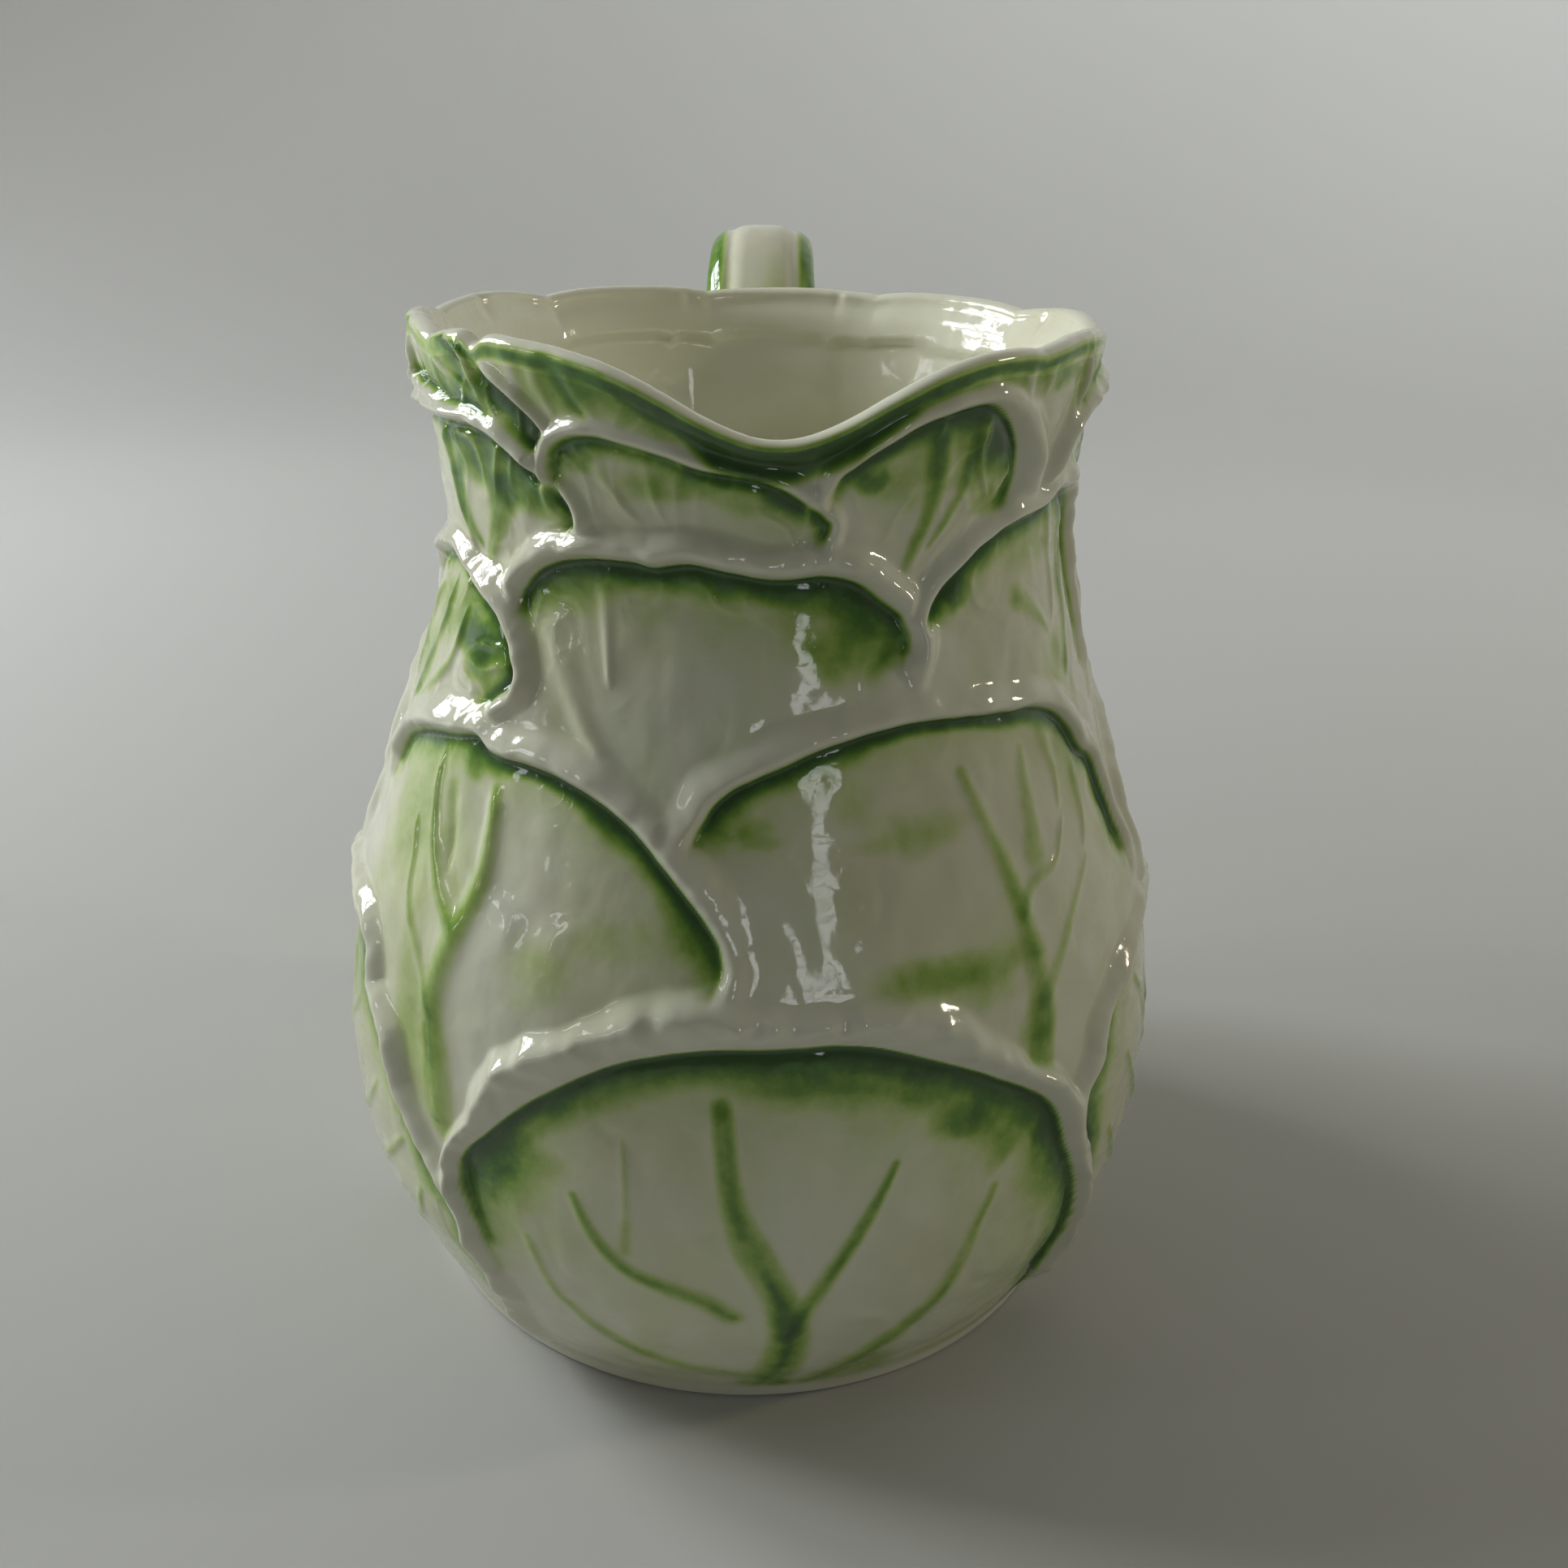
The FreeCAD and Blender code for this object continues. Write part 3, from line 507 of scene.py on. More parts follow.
class LeafPatch:
    """The stretch of the relief round one leaf, in millimetres across from its centre and up.

    `gap` is how far a point lies inside the crease, `beyond` how far outside it.
    """

    def __init__(self, relief, number, leaf):
        self.leaf = leaf
        self.seed = 10 + number
        self.veining = leaf.get("veining", 0.6)
        centre = leaf["centre"]
        across = np.radians(wrap(relief.theta - centre)) * relief.radius
        rows = [tuple(point) + (1.0,) * (5 - len(point)) for point in leaf["outline"]]
        outline = curve_through(flatten(rows, centre), True, 10)
        pad = leaf["roll"][0] * 1.5 * outline[:, 4].max() + 2.0
        self.window = ((across > outline[:, 0].min() - pad) & (across < outline[:, 0].max() + pad)
                       & (relief.z > outline[:, 1].min() - pad)
                       & (relief.z < outline[:, 1].max() + pad))
        self.x, self.y = across[self.window], relief.z[self.window]
        closed = np.vstack([outline, outline[:1]])
        off, self.along, _ = distance_to(closed[:, :2], self.x, self.y)
        self.strength, self.band, self.stretch = spread_from(outline, self.x, self.y)
        self.inside = inside_of(outline[:, :2], self.x, self.y)
        self.edge = smoothstep(0.03, 0.5, self.strength)
        self.gap = np.where(self.inside, off, 0.0)
        self.beyond = np.where(self.inside, 0.0, off)
        self.warp = 2.4 * (self.noise(6.5, 6.5, 7) - 0.5)
        self.pucker = self.noise(4.8, 4.8, 30) - 0.5
        self.wobble = self.noise(12.0, 12.0, 31) - 0.5
        self.veins = self.fan_of_veins()
        self.fine = ridges(self.x / 4.5 + self.warp, self.y / 4.5, self.seed + 1) ** 5

    def noise(self, cell_across, cell_up, number):
        return noise(self.x / cell_across, self.y / cell_up, self.seed + number)

    def fan_of_veins(self):
        """Fine veins that spread from the leaf's base."""
        base_x, base_y = flatten([self.leaf["base"]], self.leaf["centre"])[0, :2]
        angle = np.arctan2(self.x - base_x, np.maximum(self.y - base_y + 6.0, 0.5))
        reach = np.hypot(self.x - base_x, self.y - base_y + 6.0)
        veins = ridges(angle / 0.19 + 0.5 * self.warp, reach / 11.0 + self.warp, self.seed) ** 3
        veins *= smoothstep(5.0, 14.0, reach)
        return veins

    def blade(self):
        """Relief of the blade inside the crease: hollow, veins, quilting and puckers."""
        gap = self.gap
        rim_zone = np.exp(-gap / 8.0) * smoothstep(0.0, 1.5, gap)
        blade = 0.55 * (1.0 - np.exp(-gap / 14.0)) - 0.55 - 0.2 * np.exp(-gap / 0.9)
        crests = self.veining * (0.62 * self.veins + 0.25 * self.fine)
        blade += crests * (0.08 + 0.92 * rim_zone)
        blade += 0.5 * (self.noise(16.0, 16.0, 2) - 0.5) * smoothstep(0, 6, gap)
        quilt = noise(self.x / 6.0 + self.warp, self.y / 8.0, self.seed + 40) - 0.5
        blade += 0.42 * quilt * smoothstep(1.0, 7.0, gap)
        blade += 0.5 * self.veining * self.pucker * rim_zone
        return blade

    def brushing(self):
        """Green brushed into the crease: darkest at the roll and running out inwards."""
        gap, along, band, seed = self.gap, self.along, self.band, self.seed
        ragged = (band - 0.5) * (0.65 + 0.8 * noise(along / 8.0, seed, 7))
        bristle = noise(along / 4.2, gap / 6.0, seed + 6) - 0.5
        fade = 1.0 - smoothstep(0.05, 1.35, gap / ragged + 0.22 * bristle)
        core = 0.80 * np.exp(-((gap / (0.65 + 0.13 * band)) ** 2))
        tail = 0.22 * np.exp(-gap / (1.7 * band))
        streak = 0.75 + 0.5 * noise(along / 5.0, gap / 1.6, seed + 8)
        green = self.strength * (core + 0.70 * fade * streak + tail)
        green *= 1.0 - self.veining * (0.55 * self.veins + 0.3 * self.fine)
        return green

    def add_ribs(self, blade, green):
        """Raises each rib out of the blade and draws green along it."""
        for points, rib_width, relief, amount in self.leaf.get("ribs") or branching_ribs(self.leaf):
            path = curve_through(flatten(points, self.leaf["centre"]), False, 8)
            d, s, total = distance_to(path[:, :2], self.x, self.y)
            size = rib_width * (1.0 - 0.60 * s / total) * 0.62
            ends = smoothstep(0.0, 3.0, s + 1.5) * (1.0 - smoothstep(-2.0, 1.5, s - total))
            round_top = np.exp(-((d / (size * 1.5)) ** 2))
            blade += relief * ends * round_top * smoothstep(0, 2, self.gap)
            streak = 0.55 + 0.7 * noise(s / 8.0, d / 1.5, self.seed + 3)
            soft = 1.0 - smoothstep(size * 0.1, size * (2.1 + 0.6 * self.wobble), d)
            green = green + amount * soft * streak * (1.0 - 0.35 * s / total)
        return blade, green

    def add_washes(self, green):
        """Lays pools of thin green, and a faint unevenness everywhere."""
        x, y, seed = self.x, self.y, self.seed
        for at, high, half_wide, half_high, amount in self.leaf.get("washes", []):
            centre_x = math.radians(wrap(at - self.leaf["centre"])) * float(radius_at(high))
            scale = float(radius_at(high)) * math.radians(1.0)
            wide_mm = half_wide * scale
            ragged = 0.6 * (noise(x / (0.55 * wide_mm), y / (0.7 * half_high), seed + 4) - 0.5)
            d = np.hypot((x - centre_x) / wide_mm, (y - high) / half_high)
            pool = 1.0 - smoothstep(0.2, 1.4, d + ragged)
            stroke = 0.75 + 0.5 * noise(x / 1.7 + self.warp, y / 6.0, seed + 5)
            green = green + amount * pool * stroke * (1.0 - 0.5 * self.veining * self.veins)
        patches = self.noise(13.0, 17.0, 33) * self.noise(5.0, 9.0, 34)
        return np.clip(green + 0.13 * patches, 0.0, None)

    def rolled_edge(self, blade, green, under, under_green):
        """Relief and green of the rolled edge outside the crease, and the edge's width."""
        width, height, crest_share = self.leaf["roll"]
        lumps = self.leaf.get("lumps", 1.0)
        q, edge, wobble, pucker = self.beyond, self.edge, self.wobble, self.pucker
        knobs = self.noise(2.4, 2.4, 41) - 0.5
        w = width * (1.0 + lumps * (0.35 * wobble + 0.13 * pucker)) * self.stretch
        crest = crest_share * w
        climb = np.sin(0.5 * np.pi * np.clip(q / crest, 0.0, 1.0)) ** 1.15
        fall = 0.5 + 0.5 * np.cos(np.pi * np.clip((q - crest) / (w - crest), 0.0, 1.0))
        top = height * (1.0 + lumps * (0.45 * wobble + 0.34 * pucker + 0.26 * knobs))
        near = smoothstep(0.0, 1.0, np.clip(q / np.maximum(crest, 1.2), 0.0, 1.0))
        settle = edge * (1.0 - near)
        reach = np.clip(1.0 - q / w, 0.0, 1.0)
        cover = edge * smoothstep(0.0, 0.35, reach)
        buried = under * (1.0 - 0.85 * cover)
        outer = buried * (1.0 - settle) + blade * settle + top * climb * fall * edge
        creep = edge * (1.0 - smoothstep(0.1, 0.9 + 0.5 * wobble, q))
        outer_green = under_green * (1.0 - cover) * (1.0 - creep) + green * creep
        return outer, outer_green, w


class Relief:
    """Height, green pigment and leaf number over the unrolled side of the jug."""

    def __init__(self):
        self.angle = np.arange(COLUMNS) * FULL_TURN / COLUMNS - 180.0
        rim = rim_height(self.angle)
        rows = int((RIM_BACK - SKIRT_HEIGHT) / ROW_STEP) + 1
        plain = np.linspace(SKIRT_HEIGHT, RIM_BACK, rows)[:, None]
        share = np.clip((plain - BEND_FROM) / (RIM_BACK - BEND_FROM), 0.0, 1.0)
        self.z = np.where(plain > BEND_FROM, BEND_FROM + share * (rim - BEND_FROM), plain)
        self.rim = rim
        self.theta = np.broadcast_to(self.angle, self.z.shape)
        self.radius = radius_at(self.z)
        wide = noise(self.theta / 22.5, self.z / 26.0, 1, 16) - 0.5
        self.h = 0.7 * wide
        self.green = np.zeros(self.z.shape)
        self.owner = np.full(self.z.shape, -1)

    def add_leaf(self, number, leaf):
        """Lays one leaf over what is there."""
        patch = LeafPatch(self, number, leaf)
        window = patch.window
        under = self.h[window]
        under_green = self.green[window]
        blade, green = patch.add_ribs(patch.blade(), patch.brushing())
        green = patch.add_washes(green)
        outer, outer_green, width = patch.rolled_edge(blade, green, under, under_green)

        inside, gap, q, edge = patch.inside, patch.gap, patch.beyond, patch.edge
        weight = edge + (1.0 - edge) * smoothstep(0.0, 14.0, gap)
        inner = under * (1.0 - weight) + blade * weight
        inner_green = under_green * (1.0 - weight) + green * weight
        self.h[window] = np.where(inside, inner, np.where(q < width, outer, under))
        self.green[window] = np.where(inside, inner_green,
                                      np.where(q < width, outer_green, under_green))
        owner = self.owner[window]
        mine = inside & ((edge > 0.15) | (gap > 5.0) | (owner < 0))
        mine |= (~inside) & (q < width * 0.72) & (edge > 0.3)
        self.owner[window] = np.where(mine, number, owner)

    def brush_rim(self):
        """The dark green line drawn round under the rim's edge, heaviest under the lip."""
        below = self.rim - self.z
        off = wrap(self.theta - LIP_ANGLE)
        lip = np.exp(-((off / 22.0) ** 2))
        front = 1.0 - smoothstep(52.0, 66.0, np.abs(off))
        amount = 0.85 * front + 1.0 * lip + 0.35 * (1.0 - front)
        depth = 1.5 + 2.3 * lip + 0.9 * (noise(self.theta / 5.0, 0.0, 9, 72) - 0.5)
        start = smoothstep(-0.2, 0.3, below)
        stop = 1.0 - smoothstep(0.6, 1.45, below / depth)
        streak = 0.8 + 0.4 * noise(self.theta / 3.0, below / 0.8, 11, 120)
        amount = amount * start * stop * streak
        self.green = np.maximum(self.green, amount)
        groove = 0.55 * lip * np.exp(-(((below - 2.6) / 1.2) ** 2))
        flare = 0.5 * np.exp(-((below / 2.0) ** 2)) * lip
        calm = 1.0 - 0.75 * np.exp(-below / 2.5) * (1.0 - lip)
        self.h = self.h * calm + flare - groove

    def finish_surface(self):
        """Positions, in metres, and unit normals of the finished outside."""
        # the relief dies away towards the table, so that no rolled edge ends there in a lump
        keep = smoothstep(BASE_HEIGHT, BASE_HEIGHT + 5.0, self.z)
        self.green = self.green * smoothstep(FOOT_WHITE, FOOT_WHITE + 2.6, self.z)
        self.h += 0.24 * (noise(self.theta / 3.6, self.z / 4.6, 50, 100) - 0.5)
        self.h *= keep
        r = self.radius + self.h + lip_lean(self.z, self.theta)
        turn = np.radians(self.theta)
        self.position = np.stack([r * np.sin(turn), -r * np.cos(turn), self.z], -1) * MM
        round_step = np.roll(self.position, -1, 1) - np.roll(self.position, 1, 1)
        up_step = np.gradient(self.position, axis=0)
        normal = np.cross(round_step, up_step)
        self.normal = normal / np.linalg.norm(normal, axis=-1, keepdims=True)


# --- mesh helpers ---------------------------------------------------------------------------
def new_mesh_object(name, vertices, faces, normals=None, green=None):
    """A mesh object from arrays, smooth, with a green attribute for its glaze."""
    mesh = bpy.data.meshes.new(name)
    vertices = np.asarray(vertices, np.float32)
    faces = np.asarray(faces, np.int32)
    mesh.vertices.add(len(vertices))
    mesh.vertices.foreach_set("co", vertices.ravel())
    mesh.loops.add(faces.size)
    mesh.loops.foreach_set("vertex_index", faces.ravel())
    mesh.polygons.add(len(faces))
    mesh.polygons.foreach_set("loop_start", np.arange(len(faces), dtype=np.int32) * 4)
    mesh.polygons.foreach_set("use_smooth", np.ones(len(faces), bool))
    mesh.update(calc_edges=True)
    if green is not None:
        attribute = mesh.attributes.new("green", "FLOAT", "POINT")
        attribute.data.foreach_set("value", np.asarray(green, np.float32).ravel())
    if normals is not None:
        mesh.normals_split_custom_set_from_vertices(np.asarray(normals, float).tolist())
    piece = bpy.data.objects.new(name, mesh)
    bpy.context.scene.collection.objects.link(piece)
    return piece


def grid_faces(rows, columns, closed_round=True):
    """Quads over a grid whose rows run upward and whose columns run round."""
    row = np.arange(rows - 1)[:, None]
    column = np.arange(columns if closed_round else columns - 1)[None, :]
    after = (column + 1) % columns
    low = row * columns
    high = low + columns
    return np.stack([low + column, low + after, high + after, high + column], -1)


def leaf_piece(relief, number, name, top_row):
    """One leaf as a closed piece: its part of the relief, a back let into the wall and sides."""
    owner = relief.owner
    rows, columns = owner.shape
    quads = grid_faces(rows, columns)
    mask = owner[:-1] == number
    mask[top_row:] = False
    chosen = quads[mask]
    used, packed = np.unique(chosen, return_inverse=True)
    packed = packed.reshape(chosen.shape)
    top = relief.position.reshape(-1, 3)[used]
    normal = relief.normal.reshape(-1, 3)[used]
    outward = top * [1.0, 1.0, 0.0]
    outward /= np.linalg.norm(outward, axis=1, keepdims=True)
    bed = (relief.radius + lip_lean(relief.z, relief.theta)).ravel()[used]
    bed -= LEAF_DEPTH - thinning(relief.z.ravel()[used])
    back = outward * bed[:, None] * MM
    back[:, 2] = top[:, 2]
    count = len(used)
    edges = np.concatenate([packed[:, [0, 1]], packed[:, [1, 2]], packed[:, [2, 3]],
                            packed[:, [3, 0]]])
    key = np.sort(edges, axis=1)
    code = key[:, 0].astype(np.int64) * count + key[:, 1]
    _, first, times = np.unique(code, return_index=True, return_counts=True)
    rim = edges[first[times == 1]]
    sides = np.column_stack([rim[:, 1], rim[:, 0], rim[:, 0] + count, rim[:, 1] + count])
    faces = np.concatenate([packed, packed[:, ::-1] + count, sides])
    normals = np.concatenate([normal, -outward])
    green = relief.green.ravel()[used]
    return new_mesh_object(name, np.concatenate([top, back]), faces, normals,
                           np.concatenate([green, green]))


def inside_radius(height, below, angle, rim_inner):
    """Radius of the inside wall: a ledge under the rim, a seam behind, and a round corner."""
    outer = radius_at(height) + lip_lean(height, angle)
    wall = WALL - (WALL - RIM_WALL) * np.exp(-below / 10.0)
    lifted = np.clip((height - FLOOR_HEIGHT) / FLOOR_CORNER, 0.0, 1.0)
    radius = outer - wall - FLOOR_CORNER * (1.0 - lifted) ** 2.2
    blend = smoothstep(0.0, 4.0, below)
    radius = rim_inner * (1.0 - blend) + radius * blend
    petal = np.abs(np.sin(np.radians((angle - LOBE_EDGE - 9.0) * LOBES / 2.0))) ** 0.8
    line = 7.2 - 1.3 * petal + 1.6 * noise(angle / 20.0, 1.0, 13, 18)
    radius = radius - 1.1 * smoothstep(-0.4, 0.4, line - below) * smoothstep(0, 3, below)
    seam = np.exp(-((wrap(angle - 179.0) / 15.0) ** 6)) * smoothstep(6.0, 14.0, below)
    radius = radius - 1.9 * seam * np.exp(-below / 45.0)
    return radius + 0.5 * (noise(angle / 20.0, height / 18.0, 14, 18) - 0.5)


def vessel_piece(relief, top_row):
    """The cast vessel: rim and inside as seen, and a plain outside hidden behind the leaves."""
    step = 2
    pos = relief.position[:, ::step]
    nor = relief.normal[:, ::step]
    angle = relief.angle[::step]
    green = relief.green[:, ::step]
    columns = len(angle)
    turn = np.radians(angle)
    outward = np.stack([np.sin(turn), -np.cos(turn), np.zeros(columns)], -1)
    rows = []

    def ring(radius, height, normal_out, normal_up, paint=0.0):
        p = outward * np.reshape(radius, (-1, 1)) * MM
        p[:, 2] = np.broadcast_to(height, columns) * MM
        n = outward * normal_out
        n[:, 2] = normal_up
        n /= np.linalg.norm(n, axis=1, keepdims=True)
        rows.append((p, n, np.broadcast_to(paint, columns)))

    base_radius = float(radius_at(BASE_HEIGHT)) - 1.5
    for share in (0.02, 0.3, 0.6, 0.85, 0.97, 1.0):
        ring(base_radius * share, BASE_HEIGHT, 0.0 if share < 1.0 else 0.7, -1.0)
    hidden = list(np.linspace(BASE_HEIGHT + 2.0, RIM_BACK - LIP_DIP - 8.0, 40))
    for height in hidden + [relief.z[top_row, ::step]]:
        seat = SEAT_DEPTH - thinning(height)
        ring(radius_at(height) + lip_lean(height, angle) - seat, height, 1.0, 0.0)
    for row in range(top_row, len(pos)):
        rows.append((pos[row], nor[row], green[row]))

    # rounded rim, from the outside over to the inside
    last = pos[-1]
    outer_r = np.hypot(last[:, 0], last[:, 1]) / MM
    thick = RIM_WALL * (1.0 + 0.10 * (noise((angle % FULL_TURN) / 24.0, 2.0, 12) - 0.5))
    rim = relief.rim[::step]
    for bend in np.linspace(0.0, np.pi, 13)[1:]:
        out = np.cos(bend)
        up = np.sin(bend)
        radius = outer_r - thick / 2.0 + out * thick / 2.0
        height = rim + up * thick * 0.36
        ring(radius, height, out, up + 0.15, green[-1] * max(0.0, 1.0 - (bend / 0.6) ** 2))

    # inside wall
    inner_start = len(rows)
    rim_inner = outer_r - thick
    depth_total = rim - FLOOR_HEIGHT
    for share in np.linspace(0.0, 1.0, 110)[1:] ** 1.15:
        height = rim - depth_total * share
        radius = inside_radius(height, rim - height, angle, rim_inner)
        ring(radius, height, -1.0, 0.0)
    for share in (0.8, 0.55, 0.3, 0.1, 0.01):
        ring(radius * share, FLOOR_HEIGHT, 0.0, 1.0)

    positions = np.array([row[0] for row in rows])
    normals = np.array([row[1] for row in rows])
    round_step = np.roll(positions, -1, 1) - np.roll(positions, 1, 1)
    up_step = np.gradient(positions, axis=0)
    measured = np.cross(round_step, up_step)
    measured /= np.linalg.norm(measured, axis=-1, keepdims=True) + 1e-12
    normals[inner_start - 12:-3] = measured[inner_start - 12:-3]
    paint = np.array([row[2] for row in rows])
    faces = np.concatenate([grid_faces(len(rows), columns).reshape(-1, 4),
                            ring_cap(columns, 0), ring_cap(columns, len(rows) - 1)[:, ::-1]])
    return new_mesh_object("glazed_vessel", positions.reshape(-1, 3), faces,
                           normals.reshape(-1, 3), paint)


def ring_cap(columns, row):
    """Quads that close the ring of one row, facing down."""
    half = np.arange(columns // 2 - 1)
    cap = np.column_stack([half, half + 1, columns - 2 - half, columns - 1 - half])
    return cap[:, ::-1] + row * columns


# --- the handle -----------------------------------------------------------------------------
# The strap's middle line, (y, z), from inside the wall under the rim to inside the belly's wall.
HANDLE_PATH = [(43.5, 128.5), (48, 136.5), (56.5, 149.4), (66, 159.9), (78, 160.7), (90, 149),
               (95.6, 128), (93.8, 104), (84.5, 81), (64.5, 58)]
HANDLE_SHIFT = -1.0       # the strap stands a little to the left of the middle
HALF_WIDTH = 9.7
HALF_THICKNESS = 4.5
JOINT_FLARE = 3.4
JOINT_LENGTH_TOP = 11.0
JOINT_LENGTH_BOTTOM = 12.0
AROUND = 120


def strap_line():
    """The strap's middle line in even steps: distance along, y, z and the outward direction."""
    path = curve_through(HANDLE_PATH, False, 60)
    lengths = np.concatenate([[0.0], np.cumsum(np.linalg.norm(np.diff(path, axis=0), axis=1))])
    count = int(lengths[-1] / 0.55)
    along = np.linspace(0.0, lengths[-1], count)
    y = np.interp(along, lengths, path[:, 0])
    z = np.interp(along, lengths, path[:, 1])
    tangent = np.column_stack([np.gradient(y), np.gradient(z)])
    kernel = np.ones(9) / 9.0
    for k in range(2):
        padded = np.pad(tangent[:, k], 4, mode="edge")
        tangent[:, k] = np.convolve(padded, kernel, mode="valid")
    tangent /= np.linalg.norm(tangent, axis=1, keepdims=True)
    return along, y, z, np.column_stack([-tangent[:, 1], tangent[:, 0]])


def handle_rings():
    """Rings of the strap along its path: positions, normals, pigment and distance along."""
    along, y, z, outward = strap_line()
    share = (along / along[-1])[:, None]
    turn = np.linspace(0.0, 2.0 * np.pi, AROUND, endpoint=False)[None, :]
    swell = 1.0 + 0.10 * np.cos(2.0 * np.pi * share)
    wander = 0.5 * (noise(share * 7.0, 3.0, 21) - 0.5)
    side = np.sign(np.cos(turn)) * np.abs(np.cos(turn)) ** 0.85
    lift = np.sin(turn)
    across = HALF_WIDTH * swell * side
    bulge = np.where(lift > 0.0, np.abs(lift) ** 0.9, -0.8 * np.abs(lift) ** 0.75)
    out = HALF_THICKNESS * swell * bulge
    face = smoothstep(0.1, 0.6, lift)
    lane = across / HALF_WIDTH
    grooves = np.exp(-(((np.abs(lane) - 0.58) / 0.10) ** 2))
    threads = ridges(lane * 3.4 + 5.0, share * 5.0, 23) ** 2
    out = out + face * (-0.35 * grooves + 0.12 * threads) + wander
    edge_wave = 0.45 * (noise(share * 26.0, np.sign(side) * 3.0 + 9.0, 22) - 0.5)
    across = across + side * edge_wave
    position = np.empty((len(along), AROUND, 3))
    position[..., 0] = across + HANDLE_SHIFT
    position[..., 1] = y[:, None] + outward[:, 0:1] * out
    position[..., 2] = z[:, None] + outward[:, 1:2] * out

    # where the strap meets the wall it spreads into a soft fillet
    radial = np.hypot(position[..., 0], position[..., 1])
    wall = radius_at(position[..., 2])
    held = np.maximum(radial, wall - 2.6) / radial
    position[..., :2] *= held[..., None]
    gap = np.clip(radial - wall, 0.0, None)
    flare = JOINT_FLARE * np.exp(-gap / 3.2)
    direction = np.empty_like(position)
    direction[..., 0] = side
    direction[..., 1] = outward[:, 0:1] * lift
    direction[..., 2] = outward[:, 1:2] * lift
    direction /= np.linalg.norm(direction, axis=-1, keepdims=True)
    flare *= smoothstep(-2.6, -0.6, radial - wall)
    position = position + direction * flare[..., None]
    round_step = np.roll(position, -1, 1) - np.roll(position, 1, 1)
    along_step = np.gradient(position, axis=0)
    normal = np.cross(round_step, along_step)
    normal /= np.linalg.norm(normal, axis=-1, keepdims=True)
    if np.sum(normal * direction) < 0.0:
        normal = -normal

    stripe = smoothstep(0.62, 0.82, np.abs(lane)) * smoothstep(-0.35, 0.15, lift)
    brush = 0.45 + 0.5 * noise(share * 22.0, lane * 9.0, 24)
    green = stripe * brush + 0.10 * face * smoothstep(0.45, 0.8, noise(share * 9.0, lane * 2, 25))
    green = green + 0.18 * np.exp(-gap / 2.5)
    return position * MM, normal, green, along


def tube_piece(name, position, normal, green):
    """A closed piece of strap: its rings and two shallow end caps."""
    rows, columns = green.shape
    quads = grid_faces(rows, columns).reshape(-1, 4)
    faces = np.concatenate([quads, ring_cap(columns, 0)[:, ::-1], ring_cap(columns, rows - 1)])
    centre = position.mean(axis=1, keepdims=True)
    quad = position.reshape(-1, 3)[quads[0]]
    facing = np.cross(quad[1] - quad[0], quad[2] - quad[0])
    if facing @ (quad[0] - centre[0, 0]) < 0.0:
        faces = faces[:, ::-1]
    return new_mesh_object(name, position.reshape(-1, 3), faces, normal.reshape(-1, 3), green)


def make_handle():
    position, normal, green, along = handle_rings()
    start = int(np.searchsorted(along, JOINT_LENGTH_TOP))
    stop = int(np.searchsorted(along, along[-1] - JOINT_LENGTH_BOTTOM))
    spans = {"strap_handle": (start, stop + 1), "strap_upper_joint": (0, start + 1),
             "strap_lower_joint": (stop, len(along))}
    return {name: tube_piece(name, position[a:b], normal[a:b], green[a:b])
            for name, (a, b) in spans.items()}


